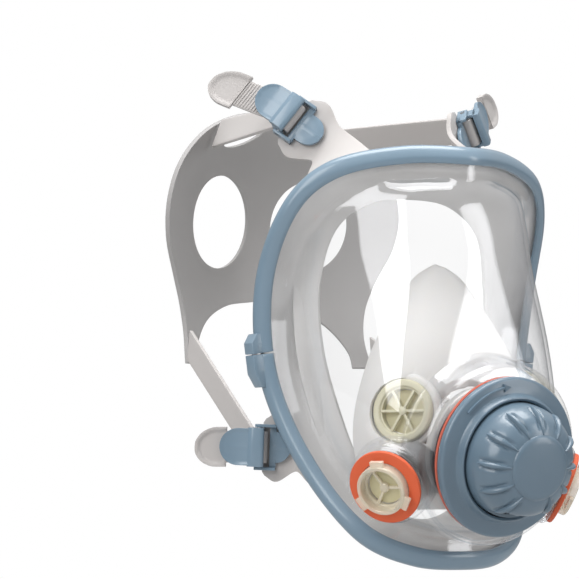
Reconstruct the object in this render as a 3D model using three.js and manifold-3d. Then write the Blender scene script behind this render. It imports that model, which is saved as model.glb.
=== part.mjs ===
// Full face respirator: a clear visor clamped in a two-part frame, a rubber face seal with four strap tabs,
// a nose cup with two inhalation valves, two bayonet ports, a centre exhalation port and a head harness.
// Millimetres, +Z up, the visor faces -Y, and the wearer's head meets the mask at the origin.
// Most places are written as (x, forward, z), where forward is 0 at the front of the frame's top edge.
import * as THREE from 'three';
import { mergeVertices } from 'three/addons/utils/BufferGeometryUtils.js';
import Module from 'manifold-3d';

const wasm = await Module();
wasm.setup();

// ---------------------------------------------------------------- driving dimensions

const CLEARANCE = 0.3;              // gap between pieces that touch
const CHAMFER = 0.6;                // on the front edges of the ports and valve seats
const FACE_DEPTH = 60;              // from the head's meeting plane forward to the frame's front

// Inner edge of the frame, right half, from top centre to bottom centre: x, forward, z.
const RIM_HALF = [
  [0, 3, 103], [34, -11.5, 103], [65.5, -30, 95], [79, -44.5, 80], [84.8, -62.5, 43],
  [80, -66.5, -8], [66, -48.5, -57], [48, -25, -90], [25, -11.5, -101], [0, -8, -103],
];
const RIM_STEPS = 42;               // stations round the whole rim

const FRAME_WIDTH_TOP = 10;         // band, inner edge to outer edge, at the top and bottom
const FRAME_WIDTH_SIDE = 7.4;       // and at the sides
const FRAME_LIP = 2.2;              // wall in front of and behind the groove
const GROOVE_REACH = 4.4;           // groove, from the inner edge outward
const RIM_THICKNESS = 2.4;          // visor rim in the groove
const SEAL_THICKNESS = 2.6;
const FRAME_DEPTH = 2 * FRAME_LIP + RIM_THICKNESS + SEAL_THICKNESS + 3 * CLEARANCE;

const SPLIT_AT = 11 / RIM_STEPS;    // place of the frame's split, as a share of the rim's length
const LUG_REACH = 12.2;              // lug, from the frame's inner edge outward
const LUG_DEPTH = 8.5;
const LUG_UPPER = 11;
const LUG_LOWER = 18;
const SCREW_RADIUS = 1.5;
const SCREW_HEAD_RADIUS = 2.3;
const SCREW_OUT = 8.8;               // screw axis, from the frame's inner edge outward

const VISOR_WALL = 2.5;
const VISOR_FLANGE_TOP = 8;         // width of the visor's flat flange at its top and bottom
const VISOR_FLANGE_SIDE = 14;       // and at its sides
const VISOR_FRONT = 14;             // most forward place of the panel, on the centre line
const VISOR_DROP = 72;              // how far the panel falls back at its sides
const VISOR_HALF_WIDTH = 73;
const VISOR_CORNER = 11;            // width of the corner that joins the flange to the panel

// Lip of the seal that meets the face, right half, from brow to chin.
const LIP_HALF = [
  [0, -54, 90], [27, -55, 87], [48, -58, 72], [56, -63, 42], [55, -62, 8],
  [48, -56, -28], [38, -50, -58], [22, -47, -80], [0, -46, -87],
];

const CENTRE_PORT = [0, 32.4, -53.9];
const CENTRE_TILT = 12;             // degrees that the centre port points down
const COVER_FLANGE_RADIUS = 42.7;
const COVER_FLANGE_THICKNESS = 5;
const COVER_LIP_RADIUS = 33;
const CENTRE_BORE = 31;             // bore of flange, gasket and visor round the adapter
const CENTRE_GASKET_THICKNESS = 1.8;
const CENTRE_BOSS_RADIUS = 48;      // clear boss of the visor behind the flange
const ADAPTER_WALL = 3.6;
const ADAPTER_LENGTH = 30;
const DOME_RADIUS = 30.4;
const DOME_HEIGHT = 30;
const DOME_RIBS = 11;
const OUTLET_ANGLE = 62;            // degrees of the outlet slot at the bottom of the dome
const OUTLET_INNER = 20;            // radius where the slot's cut starts
const OUTLET_FROM = 6.4;            // height of the slot above the flange's face
const OUTLET_HEIGHT = 14;

const SIDE_PORT = [59.2, 3.7, -69.5];
const SIDE_NORMAL = [0.8, 0.46, -0.39];
const GASKET_RADIUS = 20;
const GASKET_THICKNESS = 2.6;
const PORT_RADIUS = 13.5;
const PORT_WALL = 2.2;
const PORT_LENGTH = 17;
const PORT_PROUD = 5.5;             // how far the bayonet body stands in front of its gasket
const LUG_COUNT = 3;

const CUP_WALL = 2.2;
// Nose cup sections from the nose bridge down to the chin: z, half width, front.
const CUP_SECTIONS = [
  [49, 5, -27], [44, 13, -23], [34, 22, -18], [18, 33, -10], [0, 43, -2],
  [-28, 52, 5], [-52, 52, 8], [-70, 42, 4], [-80, 28, -6],
];
const CUP_BACK = -33;
const CUP_VALVE = [38.5, -8, -29];
const CUP_VALVE_NORMAL = [0.86, 0.5, 0.08];
const CUP_VALVE_RADIUS = 17;
const CUP_VALVE_OPENING = 12;
const CUP_VALVE_SPOKES = 6;

const CRADLE_THICKNESS = 2.6;
const CRADLE_BACK = -215;           // forward place of the cradle's middle
const CRADLE_CURVE = 0.0048;        // how fast the cradle wraps forward at its sides
const CRADLE_BOW = 0.0025;
const CRADLE_MIDDLE = 60;

const STRAP_WIDTH = 17;
const STRAP_THICKNESS = 2;
const TAB_WIDTH = 21.5;            // pull tab at the end of each strap
const TAB_LENGTH = 17;
const TAB_ROOT = 0.0343;             // half width of a seal tab where it starts, as a share of the rim
const TAB_WAIST = 26;               // widths of a seal tab on its way under the buckle
const TAB_EAR = 38;
const TAB_END = 32;
const BAR_RADIUS = 1.7;
const LEVER_LENGTH = 21;
const LEVER_WIDTH = STRAP_WIDTH + 3;
const LEVER_THICKNESS = 2.4;
const BASE_WIDTH = STRAP_WIDTH + 4;       // over the cheeks on both sides of the strap
const EAR_THICKNESS = 1.6;
const BAR_LENGTH = BASE_WIDTH + 2 * (EAR_THICKNESS + CLEARANCE) + 0.6;
const STUD_RADIUS = 2.5;

const TAB_UNDER = -LEVER_THICKNESS - 2.2;   // middle of a seal tab, under its bar
const studPlace = (buckle) => -buckle.base / 2 - 3;

// Each buckle: place of its bar, the way its lever points, its width direction, all as x, forward, z
// for the right-hand side, the place on the rim where its tab starts, the length of the strap's tail up to
// its pull tab, how far the tail leans sideways, and the length of the buckle's base.
const BUCKLES = {
  upper: {
    bar: [60.7, -84, 134], lever: [0.55, -0.6, 0.58], across: [0.571, -0.237, -0.787], rim: 0.09,
    tail: 29, swing: 0.27, base: 15.5,
  },
  lower: {
    bar: [80, -85, -47], lever: [0.8, -0.6, 0.04], across: [0.05, -0.1, -0.98], rim: 0.355,
    tail: 17.5, swing: 0.04, base: 11.5,
  },
};

// ---------------------------------------------------------------- places and directions

const at = (x, forward, z) => new THREE.Vector3(x, -(forward + FACE_DEPTH), z);
const direction = ([x, forward, z]) => new THREE.Vector3(x, -forward, z).normalize();

function mirroredLoop(half) {
  const far = half.slice(1, -1).reverse().map(([x, forward, z]) => [-x, forward, z]);
  return new THREE.CatmullRomCurve3([...half, ...far].map((p) => at(...p)), true, 'centripetal');
}
const rimCurve = mirroredLoop(RIM_HALF);
const lipCurve = mirroredLoop(LIP_HALF);

const turn = (t) => ((t % 1) + 1) % 1;

// Point beside the rim: out is measured away from the opening, ahead is towards the front.
function besideRim(t, out, ahead) {
  const point = rimCurve.getPointAt(turn(t));
  const along = rimCurve.getTangentAt(turn(t));
  const outward = new THREE.Vector3(-along.z, 0, along.x).normalize();
  return point.addScaledVector(outward, out).add(new THREE.Vector3(0, -ahead, 0));
}

// Matrix with local +Z along a direction, local +Y as near to up as it can be.
function facing(origin, normal) {
  const x = new THREE.Vector3(0, 0, 1).cross(normal).normalize();
  const y = normal.clone().cross(x);
  return new THREE.Matrix4().makeBasis(x, y, normal).setPosition(origin);
}

// ---------------------------------------------------------------- solids

const WELD = 0.01;                  // corners closer than this become one

function signedVolume(points, index) {
  let volume = 0;
  for (let i = 0; i < index.length; i += 3) {
    const [a, b, c] = [points[index[i]], points[index[i + 1]], points[index[i + 2]]];
    volume += a.dot(b.clone().cross(c)) / 6;
  }
  return volume;
}

// Geometry from points and triangles, turned inside out where its faces point in.
function geometryFrom(points, index) {
  const outward = signedVolume(points, index) > 0;
  const faces = [];
  for (let i = 0; i < index.length; i += 3) {
    faces.push(index[i], index[i + (outward ? 1 : 2)], index[i + (outward ? 2 : 1)]);
  }
  const geometry = new THREE.BufferGeometry();
  const numbers = points.flatMap((p) => p.toArray());
  geometry.setAttribute('position', new THREE.Float32BufferAttribute(numbers, 3));
  geometry.setIndex(faces);
  return geometry;
}

function quads(index, rows, columns, place, wrapRows, wrapColumns) {
  const lastRow = wrapRows ? rows : rows - 1;
  const lastColumn = wrapColumns ? columns : columns - 1;
  for (let i = 0; i < lastRow; i++) {
    for (let j = 0; j < lastColumn; j++) {
      const a = place(i, j);
      const b = place((i + 1) % rows, j);
      const c = place((i + 1) % rows, (j + 1) % columns);
      const d = place(i, (j + 1) % columns);
      index.push(a, b, c, a, c, d);
    }
  }
}

// Solid through a row of closed sections that have the same number of points.
function loft(sections, closed) {
  const count = sections[0].length;
  const points = sections.flat();
  const index = [];
  quads(index, sections.length, count, (i, j) => i * count + j, closed, true);
  if (!closed) {
    for (const [row, flip] of [[0, false], [sections.length - 1, true]]) {
      const centre = sections[row].reduce((sum, p) => sum.add(p), new THREE.Vector3()).divideScalar(count);
      points.push(centre);
      for (let j = 0; j < count; j++) {
        const a = row * count + j;
        const b = row * count + ((j + 1) % count);
        index.push(points.length - 1, flip ? b : a, flip ? a : b);
      }
    }
  }
  return geometryFrom(points, index);
}

// Sheet of one thickness that follows a grid of points; rows may close into a ring.
function sheet(grid, thickness, closed, fixed = () => null) {
  const rows = grid.length;
  const columns = grid[0].length;
  const normalAt = (i, j) => {
    const before = closed ? grid[(i + rows - 1) % rows] : grid[Math.max(i - 1, 0)];
    const after = closed ? grid[(i + 1) % rows] : grid[Math.min(i + 1, rows - 1)];
    const along = after[j].clone().sub(before[j]);
    const across = grid[i][Math.min(j + 1, columns - 1)].clone().sub(grid[i][Math.max(j - 1, 0)]);
    return along.cross(across).normalize();
  };
  const layer = (side) => grid.flatMap((row, i) => row.map((p, j) => (
    p.clone().addScaledVector(fixed(j) || normalAt(i, j), side * thickness / 2))));
  const points = [...layer(1), ...layer(-1)];
  const other = rows * columns;
  const index = [];
  quads(index, rows, columns, (i, j) => i * columns + j, closed, false);
  const back = [];
  quads(back, rows, columns, (i, j) => other + i * columns + j, closed, false);
  index.push(...back.reverse());
  const rim = [];
  if (closed) {
    for (const [j, flip] of [[0, false], [columns - 1, true]]) {
      for (let i = 0; i < rows; i++) rim.push([i * columns + j, ((i + 1) % rows) * columns + j, flip]);
    }
  } else {
    for (let i = 0; i < rows - 1; i++) {
      rim.push([i * columns, (i + 1) * columns, false]);
      rim.push([i * columns + columns - 1, (i + 1) * columns + columns - 1, true]);
    }
    for (let j = 0; j < columns - 1; j++) {
      rim.push([j, j + 1, true]);
      rim.push([(rows - 1) * columns + j, (rows - 1) * columns + j + 1, false]);
    }
  }
  for (const [a, b, flip] of rim) {
    const [start, end] = flip ? [a, b] : [b, a];
    index.push(start, end, end + other, start, end + other, start + other);
  }
  return geometryFrom(points, index);
}

// Turned solid about local Z from an outline of [radius, z] points; radius 0 at both ends or a closed ring.
function turned(outline, segments) {
  const onAxis = outline[0][0] === 0 && outline[outline.length - 1][0] === 0;
  const ring = onAxis ? outline : [...outline, outline[0]];
  const profile = ring.map(([radius, z]) => new THREE.Vector2(radius, z));
  return new THREE.LatheGeometry(profile, segments).rotateX(Math.PI / 2);
}

const rod = (radius, z0, z1, segments) => turned([[0, z0], [radius, z0], [radius, z1], [0, z1]], segments);

function prism(outline, depth) {
  const shape = new THREE.Shape(outline.map(([x, y]) => new THREE.Vector2(x, y)));
  return new THREE.ExtrudeGeometry(shape, { depth, bevelEnabled: false });
}

function solid(geometry) {
  const bare = geometry.clone();
  bare.deleteAttribute('normal');
  bare.deleteAttribute('uv');
  const merged = mergeVertices(bare, 1e-4);
  const corners = merged.index.array;
  const whole = [];
  for (let i = 0; i < corners.length; i += 3) {
    const [a, b, c] = [corners[i], corners[i + 1], corners[i + 2]];
    if (a !== b && b !== c && c !== a) whole.push(a, b, c);
  }
  const points = [];
  const position = merged.attributes.position;
  for (let i = 0; i < position.count; i++) {
    points.push(new THREE.Vector3().fromBufferAttribute(position, i));
  }
  const outward = geometryFrom(points, whole);
  return new wasm.Manifold(new wasm.Mesh({
    numProp: 3,
    vertProperties: new Float32Array(outward.attributes.position.array),
    triVerts: new Uint32Array(outward.index.array),
  }));
}

function geometryOf(manifold) {
  const mesh = manifold.simplify(WELD).getMesh();
  const geometry = new THREE.BufferGeometry();
  geometry.setAttribute('position', new THREE.BufferAttribute(new Float32Array(mesh.vertProperties), 3));
  geometry.setIndex(new THREE.BufferAttribute(new Uint32Array(mesh.triVerts), 1));
  return geometry;
}

const asSolid = (shape) => (shape.isBufferGeometry ? solid(shape) : shape);
const join = (...pieces) => pieces.map(asSolid).reduce((a, b) => a.add(b));
const cut = (body, ...tools) => tools.reduce((a, b) => a.subtract(asSolid(b)), asSolid(body));

// ---------------------------------------------------------------- materials and the tree

const COLOURS = {
  blue: [0x7892a8, 0.45, 0], clear: [0xeef2f4, 0.05, 0], rubber: [0xb4b2b0, 0.6, 0],
  white: [0xe4e3e0, 0.5, 0], cream: [0xd2ceaa, 0.5, 0], orange: [0xd5593a, 0.6, 0],
  red: [0xc65a46, 0.6, 0], amber: [0xeedfc2, 0.15, 0], grey: [0x8b8f93, 0.5, 0], steel: [0xb9bcbf, 0.25, 1],
};
const mask = new THREE.Group();

function add(name, shape, colour, matrix) {
  const [color, roughness, metalness] = COLOURS[colour];
  const geometry = shape.isBufferGeometry ? shape : geometryOf(shape);
  const mesh = new THREE.Mesh(geometry, new THREE.MeshStandardMaterial({ color, roughness, metalness }));
  mesh.name = name;
  if (matrix) mesh.applyMatrix4(matrix);
  mask.add(mesh);
}

const SIDES = [['left', 1], ['right', -1]];          // the wearer's left is +X

// ---------------------------------------------------------------- frame

function sideways(t) {
  const along = rimCurve.getTangentAt(turn(t));
  return Math.abs(along.z) / Math.hypot(along.x, along.z);
}

// Section of the band at one place on the rim: a bevelled front, and a groove that opens inwards.
function frameSection(t) {
  const width = FRAME_WIDTH_TOP + (FRAME_WIDTH_SIDE - FRAME_WIDTH_TOP) * sideways(t) ** 2;
  const grooveBack = FRAME_DEPTH - FRAME_LIP;
  return [
    [0, 0], [0.25 * width, 1], [0.75 * width, -0.8], [width, -4], [width, -0.65 * FRAME_DEPTH],
    [0.6 * width, -FRAME_DEPTH], [0, -FRAME_DEPTH], [0, -grooveBack], [GROOVE_REACH, -grooveBack],
    [GROOVE_REACH, -FRAME_LIP], [0, -FRAME_LIP],
  ];
}
const SPLIT_GAP = 0.0006;           // half the gap between the frame's halves, as a share of the rim

function frameBand(from, to) {
  const stations = [from];
  const nearest = 0.3;                // no station closer to an end than this share of a step
  for (let i = Math.ceil(from * RIM_STEPS + nearest); i < to * RIM_STEPS - nearest; i++) {
    stations.push(i / RIM_STEPS);
  }
  stations.push(to);
  const sections = stations.map((t) => frameSection(t).map(([out, ahead]) => besideRim(t, out, ahead)));
  const count = sections[0].length;
  const index = [];
  quads(index, sections.length, count, (i, j) => i * count + j, false, true);
  const last = (sections.length - 1) * count;
  const flat = frameSection(from).map(([out, ahead]) => new THREE.Vector2(out, ahead));
  for (const [a, b, c] of THREE.ShapeUtils.triangulateShape(flat, [])) {
    index.push(a, c, b, last + a, last + b, last + c);
  }
  return geometryFrom(sections.flat(), index);
}

// Local axes of the split: X outward, Y along the rim upwards, Z to the front.
function splitMatrix(side) {
  const t = side > 0 ? SPLIT_AT : 1 - SPLIT_AT;
  const along = rimCurve.getTangentAt(t).multiplyScalar(-side);
  const up = new THREE.Vector3(along.x, 0, along.z).normalize();
  const outward = new THREE.Vector3(side * up.z, 0, -side * up.x);
  const front = outward.clone().cross(up);
  return new THREE.Matrix4().makeBasis(outward, up, front).setPosition(rimCurve.getPointAt(t));
}
const localFront = (matrix) => new THREE.Vector3(0, 0, 1).transformDirection(matrix);
const splitFront = (side) => (localFront(splitMatrix(side)).y < 0 ? 1 : -1);

function lug(side, height, sense) {
  const foot = GROOVE_REACH + 0.8;
  const chamfer = 0.42 * height;
  const outline = [
    [foot, 0.25 * sense], [LUG_REACH, 0.25 * sense], [LUG_REACH, (height - chamfer) * sense],
    [foot + 3.5, height * sense], [foot, height * sense],
  ];
  const block = prism(sense > 0 ? outline : outline.reverse(), LUG_DEPTH);
  const back = splitFront(side) > 0 ? -LUG_DEPTH - 1.5 : 1.5;
  return block.translate(0, 0, back).applyMatrix4(splitMatrix(side));
}

function screwBore(side, radius, y0, y1) {
  const middle = splitFront(side) * (-LUG_DEPTH / 2 - 1.5);
  const bore = rod(radius, y0, y1, 10).rotateX(-Math.PI / 2);
  return bore.translate(SCREW_OUT, 0, middle).applyMatrix4(splitMatrix(side));
}

const SCREW_HEAD_FROM = LUG_UPPER - 7.6;   // underside of the head above the split
const NUT_FROM = 7.4;                      // top of the nut's pocket below the split
const RIGHT_THROUGH = 30;                  // half length of a cut that passes through a lug

function frameHalf(name, from, to, height, sense) {
  let body = solid(frameBand(from, to));
  for (const [, side] of SIDES) {
    body = body.add(solid(lug(side, height, sense)));
    body = body.subtract(solid(screwBore(side, SCREW_RADIUS + CLEARANCE, -RIGHT_THROUGH, RIGHT_THROUGH)));
    const pocket = sense > 0
      ? screwBore(side, SCREW_HEAD_RADIUS + CLEARANCE, SCREW_HEAD_FROM, RIGHT_THROUGH)
      : screwBore(side, SCREW_HEAD_RADIUS + CLEARANCE, -RIGHT_THROUGH, -NUT_FROM);
    body = body.subtract(solid(pocket));
  }
  add(name, body, 'blue');
}

function frameScrews() {
  for (const [word, side] of SIDES) {
    const shank = screwBore(side, SCREW_RADIUS, -NUT_FROM - 2, SCREW_HEAD_FROM + 1);
    const head = screwBore(side, SCREW_HEAD_RADIUS, SCREW_HEAD_FROM + CLEARANCE, SCREW_HEAD_FROM + 2.8);
    add(`frame_screw_${word}`, join(shank, head), 'steel');
    const middle = splitFront(side) * (-LUG_DEPTH / 2 - 1.5);
    const hexagon = rod(SCREW_HEAD_RADIUS, -NUT_FROM - 2.6, -NUT_FROM - CLEARANCE, 6).rotateX(-Math.PI / 2);
    const nut = hexagon.translate(SCREW_OUT, 0, middle).applyMatrix4(splitMatrix(side));
    const bore = screwBore(side, SCREW_RADIUS + CLEARANCE, -RIGHT_THROUGH, RIGHT_THROUGH);
    add(`frame_nut_${word}`, cut(nut, bore), 'steel');
  }
}

// ---------------------------------------------------------------- visor

const smooth = (edge0, edge1, x) => THREE.MathUtils.smoothstep(x, edge0, edge1);

function flangeWidth(t) {
  const upward = smooth(-70, 10, rimCurve.getPointAt(turn(t)).z);
  return VISOR_FLANGE_TOP + (VISOR_FLANGE_SIDE - VISOR_FLANGE_TOP) * sideways(t) ** 2 * upward;
}

// Forward place of the panel's outer face. It is a rounded cylinder at the top and boxier at the mouth.
function panelForward(x, z) {
  const crown = VISOR_FRONT - 12 * Math.abs((z + 5) / 98) ** 3.5;
  const power = 6 - 3.4 * smooth(-40, 60, z);
  return crown - VISOR_DROP * Math.abs(x / VISOR_HALF_WIDTH) ** power;
}

const FLAT_COLUMNS = 2;             // columns of the visor and seal that lie in the frame's groove
const VISOR_CENTRE = new THREE.Vector3(0, 0, 5);
const VISOR_STATIONS = [0.03, 0.09, 0.2, 0.38, 0.6, 0.82];

// Rows of the visor's outer face, from the rim in to the middle, at one place on the rim.
function visorRay(t) {
  const width = flangeWidth(t);
  const rimEdge = besideRim(t, GROOVE_REACH - 2 * CLEARANCE, -FRAME_LIP - CLEARANCE);
  const mouth = besideRim(t, -CLEARANCE, -FRAME_LIP - CLEARANCE);
  const corner = besideRim(t, -width, -FRAME_LIP - CLEARANCE);
  const ray = [rimEdge, mouth, corner];
  for (const share of VISOR_STATIONS) {
    const x = corner.x * (1 - share);
    const z = corner.z + (VISOR_CENTRE.z - corner.z) * share;
    const inward = Math.hypot(corner.x - x, corner.z - z);
    const rise = 1 - Math.max(0, 1 - inward / VISOR_CORNER) ** 3;
    const base = -corner.y - FACE_DEPTH;
    ray.push(at(x, base + (panelForward(x, z) - base) * rise, z));
  }
  return ray;
}

function visorShell() {
  const rays = [];
  for (let i = 0; i < RIM_STEPS; i++) rays.push(visorRay(i / RIM_STEPS));
  const count = rays[0].length;
  const normalAt = (i, j) => {
    if (j <= FLAT_COLUMNS) return new THREE.Vector3(0, -1, 0);
    const along = rays[(i + 1) % RIM_STEPS][j].clone().sub(rays[(i + RIM_STEPS - 1) % RIM_STEPS][j]);
    const inward = rays[i][Math.min(j + 1, count - 1)].clone().sub(rays[i][j - 1]);
    const normal = along.cross(inward).normalize();
    return normal.y > 0 ? normal.negate() : normal;
  };
  const outer = rays.flat();
  const inner = rays.flatMap((ray, i) => ray.map((p, j) => (
    p.clone().addScaledVector(normalAt(i, j), j <= FLAT_COLUMNS ? -RIM_THICKNESS : -VISOR_WALL))));
  const middle = at(0, panelForward(0, VISOR_CENTRE.z), VISOR_CENTRE.z);
  const place = (i, j) => i * count + j;
  const points = [...outer, ...inner, middle, middle.clone().add(new THREE.Vector3(0, VISOR_WALL, 0))];
  const second = outer.length;
  const index = [];
  quads(index, RIM_STEPS, count, place, true, false);
  const behind = [];
  quads(behind, RIM_STEPS, count, (i, j) => second + place(i, j), true, false);
  index.push(...behind.reverse());
  for (let i = 0; i < RIM_STEPS; i++) {
    const next = (i + 1) % RIM_STEPS;
    const [a, b] = [place(i, count - 1), place(next, count - 1)];
    index.push(a, b, 2 * second, second + b, second + a, 2 * second + 1);
    const [c, d] = [place(i, 0), place(next, 0)];
    index.push(d, c, second + c, d, second + c, second + d);
  }
  return geometryFrom(points, index);
}

// Everything behind the panel's inner face: what a boss must not reach into.
function visorInside() {
  const sections = [];
  const rays = [];
  for (let i = 0; i < RIM_STEPS; i++) rays.push(visorRay(i / RIM_STEPS).slice(3));
  const count = rays[0].length;
  for (let j = 0; j < count; j++) {
    sections.push(rays.map((ray) => ray[j].clone().multiply(new THREE.Vector3(0.965, 1, 0.965))
      .add(new THREE.Vector3(0, VISOR_WALL * 1.05, 0))));
  }
  const back = rays.map((ray) => new THREE.Vector3(ray[0].x * 0.965, 60, ray[0].z * 0.965));
  return loft([back, ...sections], false);
}

const radians = THREE.MathUtils.degToRad;
const centreNormal = direction([0, Math.cos(radians(CENTRE_TILT)), -Math.sin(radians(CENTRE_TILT))]);
const centreMatrix = facing(at(...CENTRE_PORT), centreNormal);
const sideMatrix = (side) => facing(
  at(side * SIDE_PORT[0], SIDE_PORT[1], SIDE_PORT[2]),
  direction([side * SIDE_NORMAL[0], SIDE_NORMAL[1], SIDE_NORMAL[2]]),
);

const CENTRE_SEAT = -COVER_FLANGE_THICKNESS - CENTRE_GASKET_THICKNESS - 2 * CLEARANCE;
const SIDE_SEAT = -GASKET_THICKNESS - CLEARANCE;
const BOSS_DEPTH = 46;              // centre boss, from the flange's face into the visor
const CHEEK_DEPTH = 30;             // side bosses, likewise

function visor() {
  const inside = solid(visorInside());
  const neck = CENTRE_BOSS_RADIUS;
  const boss = turned([
    [0, -BOSS_DEPTH], [neck, -BOSS_DEPTH], [neck, CENTRE_SEAT - 8], [neck - 2.2, CENTRE_SEAT - 3],
    [neck - 6.5, CENTRE_SEAT], [0, CENTRE_SEAT],
  ], 28).applyMatrix4(centreMatrix);
  const hollow = turned([
    [0, -BOSS_DEPTH - 20], [neck - VISOR_WALL, -BOSS_DEPTH - 20], [neck - VISOR_WALL, CENTRE_SEAT - 9],
    [neck - 5, CENTRE_SEAT - 4.6], [neck - 8, CENTRE_SEAT - 3], [0, CENTRE_SEAT - 3],
  ], 28).applyMatrix4(centreMatrix);
  const bore = rod(CENTRE_BORE, -BOSS_DEPTH, 10, 28).applyMatrix4(centreMatrix);
  let body = join(visorShell(), cut(boss, inside));
  const hollows = [hollow, bore];
  for (const [, side] of SIDES) {
    const matrix = sideMatrix(side);
    const cheek = rod(GASKET_RADIUS + 2, -CHEEK_DEPTH, SIDE_SEAT, 20).applyMatrix4(matrix);
    body = body.add(cut(cheek, inside));
    hollows.push(rod(GASKET_RADIUS - 0.5, -CHEEK_DEPTH - 8, SIDE_SEAT - 3, 20).applyMatrix4(matrix));
    hollows.push(rod(PORT_RADIUS + CLEARANCE, -CHEEK_DEPTH, 10, 20).applyMatrix4(matrix));
  }
  add('visor_lens', cut(body, ...hollows), 'clear');
}

// ---------------------------------------------------------------- face seal

const SEAL_FACE = new THREE.Vector3(0, -1, 0);   // the seal's clamped edge faces straight ahead
const SEAL_CLAMP = -FRAME_LIP - RIM_THICKNESS - 2 * CLEARANCE - SEAL_THICKNESS / 2;
const sealMouth = (t) => besideRim(t, -CLEARANCE, SEAL_CLAMP);
const sealFold = (t) => besideRim(t, 4 - flangeWidth(t), SEAL_CLAMP - 4.5);

function sealRows() {
  const rows = [];
  for (let i = 0; i < RIM_STEPS; i++) {
    const t = i / RIM_STEPS;
    const lip = lipCurve.getPointAt(t);
    const edge = besideRim(t, GROOVE_REACH - 2 * CLEARANCE, SEAL_CLAMP);
    const mouth = sealMouth(t);
    const fold = sealFold(t);
    const outward = mouth.clone().sub(lip).setY(0).normalize();
    const slope = fold.clone().lerp(lip, 0.55).add(new THREE.Vector3(0, 3, 0));
    const turnBack = lip.clone().addScaledVector(outward, 4).add(new THREE.Vector3(0, 5, 0));
    const reflex = lip.clone().addScaledVector(outward, 12).add(new THREE.Vector3(0, 8, 0));
    rows.push([edge, mouth, fold, slope, lip, turnBack, reflex]);
  }
  return rows;
}

const mirrorX = (v, side) => new THREE.Vector3(side * v.x, v.y, v.z);

function buckleAxes(buckle, side) {
  const lever = mirrorX(direction(buckle.lever), side);
  const rough = mirrorX(direction(buckle.across), side);
  const across = rough.addScaledVector(lever, -rough.dot(lever)).normalize();
  const out = lever.clone().cross(across).multiplyScalar(-side).normalize();
  const bar = mirrorX(at(...buckle.bar), side);
  return { lever, across, out, bar };
}

// Tab from the seal, behind the frame, out to its buckle.
function sealTab(buckle, side) {
  const { lever, across, out, bar } = buckleAxes(buckle, side);
  const t = side > 0 ? buckle.rim : 1 - buckle.rim;
  const sense = Math.sign(rimCurve.getTangentAt(turn(t)).dot(across));
  const places = [-1, -0.5, 0, 0.5, 1];
  const stations = places.map((k) => t + k * sense * TAB_ROOT);
  const underBuckle = (distance, half) => places.map((k) => (
    bar.clone().addScaledVector(lever, -distance).addScaledVector(out, TAB_UNDER)
      .addScaledVector(across, half * k)));
  const root = stations.map((station) => sealMouth(station).lerp(sealFold(station), 0.6));
  const behind = stations.map((station) => besideRim(station, -1, -FRAME_DEPTH - 4));
  const waist = underBuckle(buckle.base + 9, TAB_WAIST / 2);
  const rows = [
    root, behind, behind.map((p, j) => p.clone().lerp(waist[j], 0.55)),
    waist, underBuckle(buckle.base / 2 + 4, TAB_EAR / 2), underBuckle(3, TAB_END / 2),
  ];
  return sheet(rows, SEAL_THICKNESS, false);
}

function faceSeal() {
  const inGroove = (column) => (column < FLAT_COLUMNS ? SEAL_FACE : null);
  let body = solid(sheet(sealRows(), SEAL_THICKNESS, true, inGroove));
  for (const buckle of Object.values(BUCKLES)) {
    for (const [, side] of SIDES) {
      const { lever, out, bar } = buckleAxes(buckle, side);
      body = body.add(solid(sealTab(buckle, side)));
      const stud = facing(bar.clone().addScaledVector(lever, studPlace(buckle)), out);
      body = body.subtract(solid(rod(STUD_RADIUS + CLEARANCE, -14, 6, 10).applyMatrix4(stud)));
    }
  }
  add('face_seal', body, 'rubber');
}

// ---------------------------------------------------------------- nose cup and its valves

function cupSections(inset, back) {
  const steps = 10;
  return CUP_SECTIONS.map(([z, half, front], row) => {
    const shrink = row === 0 ? -inset : row === CUP_SECTIONS.length - 1 ? inset : 0;
    const points = [];
    for (let i = 0; i <= steps; i++) {
      const angle = Math.PI * i / steps;
      const x = Math.sign(Math.cos(angle)) * Math.abs(Math.cos(angle)) ** 0.9 * Math.max(half - inset, 1);
      const depth = Math.max(front - inset, CUP_BACK + 1) - back;
      points.push(at(x, back + depth * Math.sin(angle) ** 0.8, z + shrink));
    }
    return points;
  });
}

const cupValveMatrix = (side) => facing(
  at(side * CUP_VALVE[0], CUP_VALVE[1], CUP_VALVE[2]),
  direction([side * CUP_VALVE_NORMAL[0], CUP_VALVE_NORMAL[1], CUP_VALVE_NORMAL[2]]),
);

function noseCup() {
  const outside = solid(loft(cupSections(0, CUP_BACK), false));
  const inside = solid(loft(cupSections(CUP_WALL, CUP_BACK - 12), false));
  const neck = rod(CENTRE_BORE + 0.2, -70, 30, 28).applyMatrix4(centreMatrix);
  const sleeve = turned([
    [CENTRE_BORE + 0.2, -ADAPTER_LENGTH - 8], [CENTRE_BORE + 2.6, -ADAPTER_LENGTH - 8],
    [CENTRE_BORE + 2.6, -22], [CENTRE_BORE + 0.2, -22],
  ], 28).applyMatrix4(centreMatrix);
  let body = cut(outside, inside).add(solid(sleeve));
  for (const [, side] of SIDES) {
    const matrix = cupValveMatrix(side);
    const pad = rod(CUP_VALVE_RADIUS + 1.5, -7, -0.5, 20).applyMatrix4(matrix);
    const recess = rod(CUP_VALVE_RADIUS + CLEARANCE, -0.5, 12, 20).applyMatrix4(matrix);
    const hole = rod(CUP_VALVE_RADIUS - 2.6, -40, 8, 20).applyMatrix4(matrix);
    body = body.add(solid(pad)).subtract(solid(recess)).subtract(solid(hole));
  }
  add('nose_cup', cut(body, neck), 'white');
}

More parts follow.
